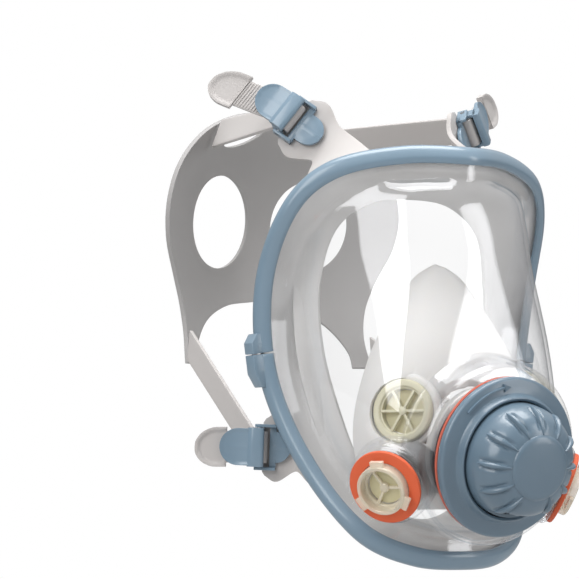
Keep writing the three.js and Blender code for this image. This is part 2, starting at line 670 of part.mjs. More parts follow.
// Ring with spokes and a hub, centred on local Z.
function spokedSeat(radius, opening, spokes, hub, z0, z1) {
  const ring = turned([
    [opening, z0], [radius, z0], [radius, z1 - CHAMFER], [radius - CHAMFER, z1], [opening, z1],
  ], 20);
  let seat = join(ring, rod(hub, z0, z1 - CHAMFER, 8));
  for (let i = 0; i < spokes; i++) {
    const spoke = new THREE.BoxGeometry(opening + 1, 1.6, z1 - z0 - 1);
    spoke.translate((opening + 1) / 2, 0, (z0 + z1) / 2);
    seat = seat.add(solid(spoke.rotateZ(2 * Math.PI * i / spokes)));
  }
  return seat;
}

function noseCupValves() {
  for (const [word, side] of SIDES) {
    const matrix = cupValveMatrix(side);
    const ring = spokedSeat(CUP_VALVE_RADIUS, CUP_VALVE_OPENING, CUP_VALVE_SPOKES, 2.2, -0.2, 2.8);
    const neck = CUP_VALVE_RADIUS - 3;
    const sleeve = turned([[CUP_VALVE_OPENING, -5], [neck, -5], [neck, 0], [CUP_VALVE_OPENING, 0]], 24);
    add(`nose_valve_seat_${word}`, geometryOf(ring.add(solid(sleeve))), 'white', matrix);
    const flap = rod(CUP_VALVE_OPENING - 0.4, -2.6, -1.8, 18);
    add(`nose_valve_flap_${word}`, flap, 'cream', matrix);
  }
}

// ---------------------------------------------------------------- side ports

function sidePorts() {
  for (const [word, side] of SIDES) {
    const matrix = sideMatrix(side);
    add(`port_gasket_${word}`, turned([
      [PORT_RADIUS + CLEARANCE, -GASKET_THICKNESS], [GASKET_RADIUS - 0.5, -GASKET_THICKNESS],
      [GASKET_RADIUS, -GASKET_THICKNESS + 0.5], [GASKET_RADIUS, -0.5], [GASKET_RADIUS - 0.5, 0],
      [PORT_RADIUS + CLEARANCE, 0],
    ], 24), 'orange', matrix);
    const inner = PORT_RADIUS - PORT_WALL;
    const foot = PORT_PROUD - PORT_LENGTH;
    const tube = turned([
      [inner, foot], [PORT_RADIUS, foot], [PORT_RADIUS, PORT_PROUD - CHAMFER],
      [PORT_RADIUS - CHAMFER, PORT_PROUD], [inner, PORT_PROUD],
    ], 20);
    let body = join(tube, spokedSeat(inner + 0.5, inner - 1.5, LUG_COUNT, 2.4, -1.6, 0.9));
    for (let i = 0; i < LUG_COUNT; i++) {
      const key = new THREE.BoxGeometry(4, 7.5, 2.4).translate(PORT_RADIUS + 0.9, 0, PORT_PROUD - 1.8);
      body = body.add(solid(key.rotateZ(2 * Math.PI * i / LUG_COUNT + Math.PI / 2)));
    }
    add(`port_body_${word}`, geometryOf(body), 'amber', matrix);
    add(`port_valve_${word}`, rod(inner - 1.9, -3.2, -2.2, 18), 'cream', matrix);
    const ringFrom = SIDE_SEAT - 3 - CLEARANCE;
    add(`port_ring_${word}`, turned([
      [PORT_RADIUS + CLEARANCE, ringFrom - 3], [GASKET_RADIUS - 3, ringFrom - 3],
      [GASKET_RADIUS - 1.5, ringFrom], [PORT_RADIUS + CLEARANCE, ringFrom],
    ], 24), 'grey', matrix);
  }
}

// ---------------------------------------------------------------- centre port

function centrePort() {
  const matrix = centreMatrix;
  const back = -COVER_FLANGE_THICKNESS;
  add('cover_flange', turned([
    [CENTRE_BORE, back], [COVER_FLANGE_RADIUS - 1, back], [COVER_FLANGE_RADIUS, back + 1],
    [COVER_FLANGE_RADIUS, -1.2], [COVER_FLANGE_RADIUS - 1, 0], [COVER_LIP_RADIUS + 1.5, 1.4],
    [COVER_LIP_RADIUS + 0.7, 4.6], [COVER_LIP_RADIUS, 5.4], [COVER_LIP_RADIUS - 0.8, 5.4], [CENTRE_BORE, 4],
  ], 32), 'blue', matrix);
  add('centre_gasket', turned([
    [CENTRE_BORE, back - CLEARANCE - CENTRE_GASKET_THICKNESS],
    [COVER_FLANGE_RADIUS - 0.6, back - CLEARANCE - CENTRE_GASKET_THICKNESS],
    [COVER_FLANGE_RADIUS - 0.6, back - CLEARANCE], [CENTRE_BORE, back - CLEARANCE],
  ], 28), 'red', matrix);
  const outer = CENTRE_BORE - CLEARANCE;
  const inner = outer - ADAPTER_WALL;
  const clampFrom = CENTRE_SEAT - 3 - CLEARANCE;
  add('centre_adapter', turned([
    [inner, -ADAPTER_LENGTH], [outer, -ADAPTER_LENGTH], [outer, clampFrom - 3], [outer + 5, clampFrom - 3],
    [outer + 5, clampFrom], [outer, clampFrom], [outer, 1], [inner, 1],
  ], 24), 'grey', matrix);
  const seatRadius = inner - CLEARANCE;
  const seat = spokedSeat(seatRadius, seatRadius - 6, 6, 4, -12, -8.6);
  add('exhale_valve_seat', geometryOf(seat), 'grey', matrix);
  add('exhale_valve_flap', rod(seatRadius - 3.5, -8.2, -7.2, 18), 'cream', matrix);
  add('exhale_cover', geometryOf(exhaleCover()), 'blue', matrix);
}

// Dome of the cover: shoulder with short ribs, a flatter front, and an outlet slot at the bottom.
function exhaleCover() {
  const top = DOME_HEIGHT;
  const base = 1.6;
  const outside = [[DOME_RADIUS, base], [DOME_RADIUS, 8], [29.6, 13], [27.8, 18], [25, 22.6]];
  const front = [[18, 27], [9, top - 0.8], [0, top]];
  const wall = 2.2;
  const inside = [
    [0, top - wall], [9, top - wall - 0.9], [17, 24.6], [23, 20.8], [25.6, 16.6], [27.4, 12],
    [DOME_RADIUS - wall, base],
  ];
  const shell = turned([...inside, ...outside, ...front], 28);
  const half = radians(OUTLET_ANGLE / 2);
  const reach = DOME_RADIUS + 8;
  const onRay = (radius, sense) => [sense * radius * Math.sin(half), -radius * Math.cos(half)];
  const wedge = prism([
    onRay(OUTLET_INNER, -1), onRay(reach, -1), [0, -reach * 1.1], onRay(reach, 1), onRay(OUTLET_INNER, 1),
  ], OUTLET_HEIGHT).translate(0, 0, OUTLET_FROM);
  let dome = cut(shell, wedge);
  const spacing = 2 * Math.PI / (DOME_RIBS + 1);
  for (let i = 0; i < DOME_RIBS; i++) {
    const rib = new THREE.BoxGeometry(1.8, 9.5, 2.6).rotateX(-1).translate(0, 27.4, 18);
    dome = dome.add(solid(rib.rotateZ(spacing * (i + 1) + Math.PI)));
  }
  return dome;
}

// ---------------------------------------------------------------- head harness

const cradleForward = (x, z) => CRADLE_BACK + CRADLE_CURVE * x * x + CRADLE_BOW * (z - CRADLE_MIDDLE) ** 2;

function oval(x, z, rx, rz, tilt, segments) {
  const points = [];
  for (let i = 0; i < segments; i++) {
    const angle = 2 * Math.PI * i / segments;
    const [u, v] = [rx * Math.cos(angle), rz * Math.sin(angle)];
    points.push([x + u * Math.cos(tilt) - v * Math.sin(tilt), z + u * Math.sin(tilt) + v * Math.cos(tilt)]);
  }
  return points;
}

// Prism along Y from an outline in X and Z.
function through(outline) {
  const geometry = prism(outline, 300);
  return geometry.rotateX(Math.PI / 2).translate(0, 300, 0);
}

// Half outline of the cradle from its top centre round to the middle of its lower arch: x, z.
const CRADLE_HALF = [
  [0, 151], [20, 150], [40, 144], [58, 133], [74, 114], [80, 93], [78, 74], [70, 55], [64, 38], [62, 21],
  [64, 3], [54, 3], [53, 12], [42, 28], [24, 38], [0, 42],
];

function cradle() {
  const grid = [];
  for (let i = 0; i <= 12; i++) {
    const row = [];
    for (let j = 0; j <= 9; j++) {
      const [x, z] = [-84 + 168 * i / 12, -2 + 158 * j / 9];
      row.push(at(x, cradleForward(x, z), z));
    }
    grid.push(row);
  }
  const sheetSolid = solid(sheet(grid, CRADLE_THICKNESS, false));
  const far = CRADLE_HALF.slice(1, -1).reverse().map(([x, z]) => [-x, z]);
  let body = sheetSolid.intersect(solid(through([...CRADLE_HALF, ...far])));
  for (const [, side] of SIDES) {
    body = body.subtract(solid(through(oval(side * 31, 87, 23, 27, 0, 20))));
    body = body.subtract(solid(through(oval(side * 20, 137.5, 16, 4.6, -side * 0.38, 12))));
  }
  add('head_cradle', body, 'rubber');
}

const CRADLE_ENDS = {
  upper: { place: [44, 136], across: [-0.25, 0.2, 0.9] },
  lower: { place: [63, 13], across: [0.1, 0, -1] },
};
// The strap's middle in front of the cradle's, and round its bar.
const CRADLE_SEAT = CRADLE_THICKNESS / 2 + STRAP_THICKNESS / 2 + 2.4;
const STRAP_LOOP = BAR_RADIUS + STRAP_THICKNESS / 2 + 0.7;
const SWING_FROM = 7;               // distance past the bar where a tail starts to lean
const TAIL_RISE = 0.12;             // how fast a tail lifts once it is past its lever

// Strap from the cradle round its bar, then back out as a tail that ends in a rounded pull tab.
function strap(buckle, which, side) {
  const { lever, across, out, bar } = buckleAxes(buckle, side);
  const [x, z] = CRADLE_ENDS[which].place;
  const [wideX, wideForward, wideZ] = CRADLE_ENDS[which].across;
  const start = at(side * x, cradleForward(x, z) + CRADLE_SEAT, z);
  const startAcross = direction([side * wideX, wideForward, wideZ]);
  if (startAcross.dot(across) < 0) startAcross.negate();
  const approach = bar.clone().addScaledVector(out, -STRAP_LOOP).addScaledVector(lever, 3);
  const narrow = STRAP_WIDTH / 2;
  const wide = TAB_WIDTH / 2;
  const stations = [];
  for (const share of [0, 0.35, 0.7, 0.94, 1]) {
    const twist = startAcross.clone().lerp(across, Math.min(1, share * 1.15));
    stations.push([start.clone().lerp(approach, share), twist, narrow]);
  }
  for (const angle of [-0.8, 0, 0.8]) {
    const centre = bar.clone().addScaledVector(lever, -STRAP_LOOP * Math.cos(angle));
    stations.push([centre.addScaledVector(out, STRAP_LOOP * Math.sin(angle)), across, narrow]);
  }
  const tail = (distance, reach) => {
    const lift = STRAP_LOOP + TAIL_RISE * Math.max(0, distance - LEVER_LENGTH);
    const centre = bar.clone().addScaledVector(lever, distance).addScaledVector(out, lift);
    centre.addScaledVector(across, buckle.swing * Math.max(0, distance - SWING_FROM));
    stations.push([centre, across, reach]);
  };
  tail(2, narrow);
  tail(SWING_FROM, narrow);
  tail(buckle.tail - 1, narrow);
  for (const [share, reach] of [[0, 1], [0.5, 1], [0.82, 0.72], [1, 0.35]]) {
    tail(buckle.tail + share * TAB_LENGTH, reach * wide);
  }
  const rows = stations.map(([centre, way, reach]) => {
    const unit = way.clone().normalize();
    return [-1, 0, 1].map((k) => centre.clone().addScaledVector(unit, k * reach));
  });
  return sheet(rows, STRAP_THICKNESS, false);
}

// Local axes of a buckle: X across, Y along its lever, Z out, with the bar on X.
function buckleMatrix(buckle, side) {
  const { lever, out, bar } = buckleAxes(buckle, side);
  return new THREE.Matrix4().makeBasis(lever.clone().cross(out), lever, out).setPosition(bar);
}

function box(width, length, height, x, y, z) {
  return new THREE.BoxGeometry(width, length, height).translate(x, y, z);
}

function roundedPlate(width, length, thickness, segments) {
  const reach = width / 2;
  const outline = [[-reach, 0], [reach, 0]];
  for (let i = 0; i <= segments; i++) {
    const angle = Math.PI * i / segments;
    outline.push([reach * Math.cos(angle), length - reach + reach * Math.sin(angle)]);
  }
  return prism(outline, thickness);
}

const barBore = rod(BAR_RADIUS + CLEARANCE, -BAR_LENGTH, BAR_LENGTH, 10).rotateY(Math.PI / 2);
const LEVER_OVER = BAR_RADIUS + STRAP_THICKNESS + 1.6;   // underside of the lever above the bar
const BRIDGE_RISE = 1.4;            // bridge's extra height over the paddle's
const BRIDGE_LENGTH = 9;
const CHEEK_THICKNESS = 1.6;
const CHEEK_LENGTH = 6.3;
const CHEEK_BELOW = 2.2;            // how far a cheek reaches below the bar's middle
const PADDLE_FROM = 3.5;            // start of the paddle past the bar

// A paddle, a raised bridge over the bar and two cheeks that ride on the bar.
function buckleLever() {
  const paddle = roundedPlate(LEVER_WIDTH, LEVER_LENGTH - PADDLE_FROM, LEVER_THICKNESS, 8)
    .translate(0, PADDLE_FROM, LEVER_OVER);
  const bridge = box(BASE_WIDTH, BRIDGE_LENGTH, LEVER_THICKNESS + BRIDGE_RISE, 0, 1.5, LEVER_OVER + 2.1);
  let body = join(paddle, bridge);
  const height = LEVER_OVER + 3.6;
  for (const k of [-1, 1]) {
    const x = k * (BASE_WIDTH - CHEEK_THICKNESS) / 2;
    body = body.add(solid(box(CHEEK_THICKNESS, CHEEK_LENGTH, height, x, 1.2, height / 2 - CHEEK_BELOW)));
  }
  return body.subtract(solid(barBore));
}

const PLATE_UNDER = TAB_UNDER + SEAL_THICKNESS / 2 + CLEARANCE;
const PLATE_THICKNESS = 2.4;
const PLATE_FROM = 5.5;             // start of the plate behind the bar
const CROSS_BAR_LENGTH = 3.5;
const EAR_LENGTH = 11.5;
const EAR_HEIGHT = 5.6;

// A rounded plate on the seal's tab, with a cross bar and two ears that hold the bar's ends.
function buckleBase(buckle) {
  const plate = roundedPlate(BASE_WIDTH - 4, buckle.base, PLATE_THICKNESS, 8).rotateZ(Math.PI)
    .translate(0, -PLATE_FROM, PLATE_UNDER);
  const wide = BASE_WIDTH + 2 * (EAR_THICKNESS + CLEARANCE);
  const barMiddle = -PLATE_FROM - CROSS_BAR_LENGTH / 2;
  const plateMiddle = PLATE_UNDER + PLATE_THICKNESS / 2;
  const crossBar = box(wide, CROSS_BAR_LENGTH, PLATE_THICKNESS, 0, barMiddle, plateMiddle);
  let body = join(plate, crossBar);
  for (const k of [-1, 1]) {
    const x = k * (wide - EAR_THICKNESS) / 2;
    const ear = box(EAR_THICKNESS, EAR_LENGTH, EAR_HEIGHT, x, -3.25, PLATE_UNDER + EAR_HEIGHT / 2);
    body = body.add(solid(ear));
  }
  const hole = rod(STUD_RADIUS + CLEARANCE, -20, 20, 10).translate(0, studPlace(buckle), 0);
  return body.subtract(solid(hole)).subtract(solid(barBore));
}

// A stud through the plate and the tab, with a wide foot behind the tab.
function buckleStud(buckle) {
  const foot = PLATE_UNDER - SEAL_THICKNESS - 2 * CLEARANCE;
  return turned([
    [0, foot - 1.6], [STUD_RADIUS + 2, foot - 1.6], [STUD_RADIUS + 2, foot], [STUD_RADIUS, foot],
    [STUD_RADIUS, PLATE_UNDER + 2], [0, PLATE_UNDER + 2],
  ], 10).translate(0, studPlace(buckle), 0);
}

function buckles() {
  for (const [which, buckle] of Object.entries(BUCKLES)) {
    for (const [word, side] of SIDES) {
      const matrix = buckleMatrix(buckle, side);
      const name = `${which}_${word}`;
      const bar = rod(BAR_RADIUS, -BAR_LENGTH / 2, BAR_LENGTH / 2, 10).rotateY(Math.PI / 2);
      add(`buckle_lever_${name}`, geometryOf(buckleLever()), 'blue', matrix);
      add(`buckle_bar_${name}`, bar, 'steel', matrix);
      add(`buckle_base_${name}`, geometryOf(buckleBase(buckle)), 'blue', matrix);
      add(`buckle_stud_${name}`, buckleStud(buckle), 'steel', matrix);
      add(`strap_${name}`, strap(buckle, which, side), 'rubber');
    }
  }
}

// ---------------------------------------------------------------- assembly

faceSeal();
noseCup();
noseCupValves();
visor();
frameHalf('upper_frame', -SPLIT_AT + SPLIT_GAP, SPLIT_AT - SPLIT_GAP, LUG_UPPER, 1);
frameHalf('lower_frame', SPLIT_AT + SPLIT_GAP, 1 - SPLIT_AT - SPLIT_GAP, LUG_LOWER, -1);
frameScrews();
sidePorts();
centrePort();
cradle();
buckles();

export default mask;
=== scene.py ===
"""Looks of the full face respirator: smooth pieces, materials, soft light and the camera."""

import math

import bmesh
import bpy
import numpy as np
from mathutils import Matrix, Vector
from mathutils.geometry import delaunay_2d_cdt


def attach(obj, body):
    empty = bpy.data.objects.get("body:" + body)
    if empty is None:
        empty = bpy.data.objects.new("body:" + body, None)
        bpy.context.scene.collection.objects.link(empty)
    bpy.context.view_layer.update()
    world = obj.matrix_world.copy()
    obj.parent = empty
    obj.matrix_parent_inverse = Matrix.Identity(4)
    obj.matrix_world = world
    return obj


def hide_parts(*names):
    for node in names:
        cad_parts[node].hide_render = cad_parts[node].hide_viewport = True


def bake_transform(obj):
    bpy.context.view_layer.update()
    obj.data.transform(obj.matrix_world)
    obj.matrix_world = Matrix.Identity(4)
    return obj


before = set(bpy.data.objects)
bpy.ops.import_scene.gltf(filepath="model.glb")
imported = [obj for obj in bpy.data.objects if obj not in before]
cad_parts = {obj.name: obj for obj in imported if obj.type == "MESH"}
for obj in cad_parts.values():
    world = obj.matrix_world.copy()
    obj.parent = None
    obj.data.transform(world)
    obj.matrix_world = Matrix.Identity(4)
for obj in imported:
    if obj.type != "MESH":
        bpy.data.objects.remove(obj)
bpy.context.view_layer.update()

MM = 0.001
SIDES = (("left", 1), ("right", -1))          # the wearer's left is +X

# ------------------------------------------------------------ sizes shared with the frame, in millimetres

FACE_DEPTH = 60
RIM_HALF = [
    (0, 3, 103), (34, -11.5, 103), (65.5, -30, 95), (79, -44.5, 80), (84.8, -62.5, 43),
    (80, -66.5, -8), (66, -48.5, -57), (48, -25, -90), (25, -11.5, -101), (0, -8, -103),
]
LIP_HALF = [
    (0, -54, 90), (27, -55, 87), (48, -58, 72), (56, -63, 42), (55, -62, 8),
    (48, -56, -28), (38, -50, -58), (22, -47, -80), (0, -46, -87),
]
FRAME_TOP, FRAME_SIDE, FRAME_DEPTH, FRAME_LIP, GROOVE = 10, 7.4, 10.3, 2.2, 4.4
SPLIT = 11 / 42
SPLIT_GAP = 0.0006
LUG_REACH, LUG_DEPTH, LUG_UPPER, LUG_LOWER = 12.2, 8.5, 11, 18
SCREW_OUT = 8.8
GAP = 0.3
RIM_WALL, VISOR_WALL, SEAL_WALL = 2.4, 2.5, 2.6
SEAL_CLAMP = -FRAME_LIP - RIM_WALL - 2 * GAP - SEAL_WALL / 2      # middle of the seal in the frame's groove
SEAL_FOLD = SEAL_CLAMP - 4.5                                      # and where it turns inward behind the visor
RIM_STATIONS = 252
VISOR_MIDDLE_Z = 5
CENTRE_PORT, CENTRE_TILT = (0, 32.4, -53.9), 12
CENTRE_SEAT = -7.4
SIDE_PORT, SIDE_NORMAL, SIDE_SEAT = (59.2, 3.7, -69.5), (0.8, 0.46, -0.39), -2.9
CUP_SECTIONS = [
    (49, 5, -27), (44, 13, -23), (34, 22, -18), (18, 33, -10), (0, 43, -2),
    (-28, 52, 5), (-52, 52, 8), (-70, 42, 4), (-80, 28, -6),
]
CUP_BACK, CUP_WALL = -33, 2.2
CUP_VALVE, CUP_VALVE_NORMAL = (38.5, -8, -29), (0.86, 0.5, 0.08)
CENTRE_BORE, CENTRE_BOSS, COVER_FLANGE = 31, 48, 42.7             # radii at the centre port
OUTLET_HALF, OUTLET_FROM, OUTLET_HEIGHT = math.radians(31), 6.4, 14
PORT_RADIUS, PORT_GASKET, CUP_VALVE_RADIUS = 13.5, 20, 17
# Each buckle: its bar, the ways its lever and its width point, the rim place of its seal tab, its tail's
# length and sideways lean, its base's length, and where and which way its strap starts on the cradle.
BUCKLES = {
    "upper": {"bar": (60.7, -84, 134), "lever": (0.55, -0.6, 0.58), "across": (0.571, -0.237, -0.787),
              "rim": 0.09, "tail": 29, "swing": 0.27, "base": 15.5,
              "start": (44, 136), "way": (-0.25, 0.2, 0.9)},
    "lower": {"bar": (80, -85, -47), "lever": (0.8, -0.6, 0.04), "across": (0.05, -0.1, -0.98),
              "rim": 0.355, "tail": 17.5, "swing": 0.04, "base": 11.5,
              "start": (63, 13), "way": (0.1, 0, -1)},
}
TAB_ROOT, TAB_UNDER = 0.0343, -4.6
LEVER_OVER, LEVER_LENGTH, LEVER_WIDTH, PADDLE_FROM = 5.3, 21, 20, 3.5
PLATE_UNDER = TAB_UNDER + SEAL_WALL / 2 + GAP
PLATE_FROM, BASE_WIDTH, EAR_THICKNESS = 5.5, 21, 1.6
STRAP_HALF, STRAP_WALL, STRAP_LOOP, CRADLE_SEAT = 8.5, 2, 3.4, 4.7
SWING_FROM, TAIL_RISE = 7, 0.12               # where a tail starts to lean, and its lift past the lever
PULL_HALF, PULL_LENGTH = 10.75, 17
DENSE_RIM = 2016


def at(x, forward, z):
    """Point from x, the distance in front of the frame's top edge, and z."""
    return np.array([x, -(forward + FACE_DEPTH), z], float)


def way(x, forward, z):
    """Direction from the same three numbers."""
    v = np.array([x, -forward, z], float)
    return v / np.linalg.norm(v)


def unit(v):
    return v / np.maximum(np.linalg.norm(v, axis=-1, keepdims=True), 1e-12)


# ------------------------------------------------------------ curves

def spline(points, count, closed=False):
    """Evenly spaced points on a centripetal Catmull-Rom curve."""
    p = np.asarray(points, float)
    n = len(p)
    dense = []
    for i in range(n if closed else n - 1):
        b, c = p[i], p[(i + 1) % n]
        a = p[i - 1] if closed or i > 0 else 2 * b - c
        d = p[(i + 2) % n] if closed or i + 2 < n else 2 * c - b
        t0, t1, t2 = (max(math.sqrt(np.linalg.norm(v - u)), 1e-4) for u, v in ((a, b), (b, c), (c, d)))
        m1 = ((b - a) / t0 - (c - a) / (t0 + t1) + (c - b) / t1) * t1
        m2 = ((c - b) / t1 - (d - b) / (t1 + t2) + (d - c) / t2) * t1
        for s in np.linspace(0, 1, 40, endpoint=False):
            h = (2 * s**3 - 3 * s**2 + 1, s**3 - 2 * s**2 + s, -2 * s**3 + 3 * s**2, s**3 - s**2)
            dense.append(h[0] * b + h[1] * m1 + h[2] * c + h[3] * m2)
    dense.append(p[0] if closed else p[-1])
    dense = np.array(dense)
    run = np.concatenate([[0], np.cumsum(np.linalg.norm(np.diff(dense, axis=0), axis=1))])
    where = np.linspace(0, run[-1], count, endpoint=not closed)
    return np.stack([np.interp(where, run, dense[:, k]) for k in range(p.shape[1])], axis=1)


def eased(rows, count):
    """More rows between the given rows of points, on uniform Catmull-Rom curves."""
    rows = np.asarray(rows, float)
    last = len(rows) - 1
    out = []
    for s in np.linspace(0, last, count):
        i = min(int(s), last - 1)
        u = s - i
        b, c = rows[i], rows[i + 1]
        a = rows[i - 1] if i > 0 else 2 * b - c
        d = rows[i + 2] if i + 2 <= last else 2 * c - b
        m1, m2 = (c - a) / 2, (d - b) / 2
        out.append((2 * u**3 - 3 * u**2 + 1) * b + (u**3 - 2 * u**2 + u) * m1
                   + (3 * u**2 - 2 * u**3) * c + (u**3 - u**2) * m2)
    return np.array(out)


def mirrored(half):
    far = [(-x, forward, z) for x, forward, z in half[-2:0:-1]]
    return [at(*p) for p in list(half) + far]


RIM = spline(mirrored(RIM_HALF), DENSE_RIM, closed=True)
LIP = spline(mirrored(LIP_HALF), DENSE_RIM, closed=True)
RIM_WAY = unit(np.roll(RIM, -1, axis=0) - np.roll(RIM, 1, axis=0))


def along(curve, t):
    """Curve's points at shares t of its length."""
    place = (np.asarray(t, float) % 1) * len(curve)
    low = np.floor(place).astype(int)
    part = (place - low)[..., None]
    return curve[low % len(curve)] * (1 - part) + curve[(low + 1) % len(curve)] * part


def beside_rim(t, out, ahead):
    point, direction = along(RIM, t), along(RIM_WAY, t)
    outward = unit(np.stack([-direction[..., 2], np.zeros_like(direction[..., 0]), direction[..., 0]], -1))
    point = point + outward * np.asarray(out, float)[..., None]
    point[..., 1] -= ahead
    return point


def sideways(t):
    d = along(RIM_WAY, t)
    return np.abs(d[..., 2]) / np.hypot(d[..., 0], d[..., 2])


def smooth(low, high, x):
    s = np.clip((np.asarray(x, float) - low) / (high - low), 0, 1)
    return s * s * (3 - 2 * s)


def flange_width(t):
    return 8 + 6 * sideways(t) ** 2 * smooth(-70, 10, along(RIM, t)[..., 2])


def panel_forward(x, z):
    """Forward place of the visor's panel: a rounded cylinder at the top, boxier at the mouth."""
    crown = 14 - 12 * np.abs((z + 5) / 98) ** 3.5
    return crown - 72 * np.abs(x / 73) ** (6 - 3.4 * smooth(-40, 60, z))


def cradle_forward(x, z):
    return -215 + 0.0048 * x * x + 0.0025 * (z - 60) ** 2


# ------------------------------------------------------------ shapes: each is (points, faces), in millimetres

def grid_faces(rows, columns, wrap_rows, wrap_columns, start=0, flip=False):
    faces = []
    for i in range(rows if wrap_rows else rows - 1):
        for j in range(columns if wrap_columns else columns - 1):
            a = start + i * columns + j
            b = start + ((i + 1) % rows) * columns + j
            c = start + ((i + 1) % rows) * columns + (j + 1) % columns
            d = start + i * columns + (j + 1) % columns
            faces.append((a, d, c, b) if flip else (a, b, c, d))
    return faces


def skin(grid, closed=False):
    """Single surface over a grid of points."""
    rows, columns = grid.shape[:2]
    return grid.reshape(-1, 3), grid_faces(rows, columns, closed, False)


def loft(sections, closed=False):
    """Solid through closed sections that have the same number of points."""
    sections = np.asarray(sections, float)
    rows, count = sections.shape[:2]
    faces = grid_faces(rows, count, closed, True)
    if not closed:
        faces.append(tuple(range(count)))
        faces.append(tuple((rows - 1) * count + j for j in reversed(range(count))))
    return sections.reshape(-1, 3), faces


def lathe(profile, segments=96):
    """Solid turned about local Z; a profile that starts and ends on the axis is closed there."""
    solid = profile[0][0] == 0 and profile[-1][0] == 0
    ring = profile[1:-1] if solid else profile
    angles = np.linspace(0, 2 * np.pi, segments, endpoint=False)
    points = [(r * math.cos(a), r * math.sin(a), z) for a in angles for r, z in ring]
    faces = grid_faces(segments, len(ring), True, not solid)
    if solid:
        for index, end, flip in ((0, profile[0], False), (len(ring) - 1, profile[-1], True)):
            points.append((0, 0, end[1]))
            for i in range(segments):
                a, b = i * len(ring) + index, ((i + 1) % segments) * len(ring) + index
                faces.append((len(points) - 1, b, a) if flip else (len(points) - 1, a, b))
    return np.array(points, float), faces


def rounded(profile, radius, steps=4, closed=True):
    """Outline with each corner swapped for a short curve."""
    p = [np.array(q, float) for q in profile]
    out = []
    for i, corner in enumerate(p):
        if not closed and i in (0, len(p) - 1):
            out.append(tuple(corner))
            continue
        before, after = p[i - 1], p[(i + 1) % len(p)]
        reach = min(radius, 0.45 * np.linalg.norm(before - corner), 0.45 * np.linalg.norm(after - corner))
        a = corner + unit(before - corner) * reach
        b = corner + unit(after - corner) * reach
        for s in np.linspace(0, 1, steps):
            out.append(tuple((1 - s) ** 2 * a + 2 * s * (1 - s) * corner + s * s * b))
    return out


def block(width, length, height, x=0, y=0, z=0):
    corners = [(sx * width / 2 + x, sy * length / 2 + y, sz * height / 2 + z)
               for sx in (-1, 1) for sy in (-1, 1) for sz in (-1, 1)]
    faces = [(0, 1, 3, 2), (4, 6, 7, 5), (0, 4, 5, 1), (2, 3, 7, 6), (0, 2, 6, 4), (1, 5, 7, 3)]
    return np.array(corners, float), faces


def prism(outline, z0, z1):
    n = len(outline)
    points = [(x, y, z0) for x, y in outline] + [(x, y, z1) for x, y in outline]
    faces = [tuple(reversed(range(n))), tuple(range(n, 2 * n))]
    faces += [(i, (i + 1) % n, n + (i + 1) % n, n + i) for i in range(n)]
    return np.array(points, float), faces


def inside(outline, points):
    x, y = points[:, 0], points[:, 1]
    hit = np.zeros(len(points), bool)
    for (x0, y0), (x1, y1) in zip(outline, np.roll(outline, -1, axis=0)):
        if y0 != y1:
            hit ^= ((y0 > y) != (y1 > y)) & (x < (x1 - x0) * (y - y0) / (y1 - y0) + x0)
    return hit


def plate(outline, holes, spacing, top, bottom):
    """Solid over a flat outline with holes; top and bottom give its two faces as points."""
    loops = [np.asarray(loop, float) for loop in [outline, *holes]]
    low, high = loops[0].min(0), loops[0].max(0)
    xs, ys = (np.arange(low[k] + spacing / 2, high[k], spacing) for k in (0, 1))
    inner = np.array([(x, y) for x in xs for y in ys])
    keep = inside(loops[0], inner)
    for hole in loops[1:]:
        keep &= ~inside(hole, inner)
    for loop in loops:
        gap = np.linalg.norm(inner[:, None] - loop[None], axis=2).min(1)
        keep &= gap > 0.45 * spacing
    points = np.concatenate([*loops, inner[keep]])
    edges = []
    start = 0
    for loop in loops:
        edges += [(start + i, start + (i + 1) % len(loop)) for i in range(len(loop))]
        start += len(loop)
    found, _, triangles, _, _, _ = delaunay_2d_cdt([Vector(p) for p in points], edges, [], 0, 1e-5)
    flat = np.array([tuple(p) for p in found])
    triangles = np.array(triangles)
    middle = flat[triangles].mean(1)
    good = inside(loops[0], middle)
    for hole in loops[1:]:
        good &= ~inside(hole, middle)
    triangles = triangles[good]
    n = len(flat)
    faces = [tuple(t) for t in triangles] + [tuple(n + t[::-1]) for t in triangles]
    directed = {(t[k], t[(k + 1) % 3]) for t in triangles for k in range(3)}
    faces += [(b, a, n + a, n + b) for a, b in directed if (b, a) not in directed]
    return np.concatenate([top(flat), bottom(flat)]), faces


def edge_distance(outline, points, closed=True):
    """Distance of each flat point from an outline, with or without its closing side."""
    a = np.asarray(outline, float)
    b = np.roll(a, -1, axis=0)
    if not closed:
        a, b = a[:-1], b[:-1]
    d = b - a
    s = np.clip(((points[:, None] - a) * d).sum(2) / np.maximum((d * d).sum(1), 1e-9), 0, 1)
    return np.linalg.norm(points[:, None] - (a + s[..., None] * d), axis=2).min(1)


def moved(shape, matrix):
    points, faces = shape
    m = np.array(matrix)
    return points @ m[:3, :3].T + m[:3, 3], faces


def turned_z(shape, angle):
    return moved(shape, Matrix.Rotation(angle, 4, "Z"))


def axes(x, y, z, origin):
    m = np.eye(4)
    m[:3, 0], m[:3, 1], m[:3, 2], m[:3, 3] = x, y, z, origin
    return m


def facing(origin, normal):
    """Matrix with local Z along a direction and local Y as near to up as it can be."""
    x = unit(np.cross((0, 0, 1), normal))
    return axes(x, np.cross(normal, x), normal, origin)


TILT = math.radians(CENTRE_TILT)
CENTRE = facing(at(*CENTRE_PORT), way(0, math.cos(TILT), -math.sin(TILT)))


def side_matrix(side):
    return facing(at(side * SIDE_PORT[0], *SIDE_PORT[1:]), way(side * SIDE_NORMAL[0], *SIDE_NORMAL[1:]))


def cup_matrix(side):
    normal = way(side * CUP_VALVE_NORMAL[0], *CUP_VALVE_NORMAL[1:])
    return facing(at(side * CUP_VALVE[0], *CUP_VALVE[1:]), normal)


# ------------------------------------------------------------ materials

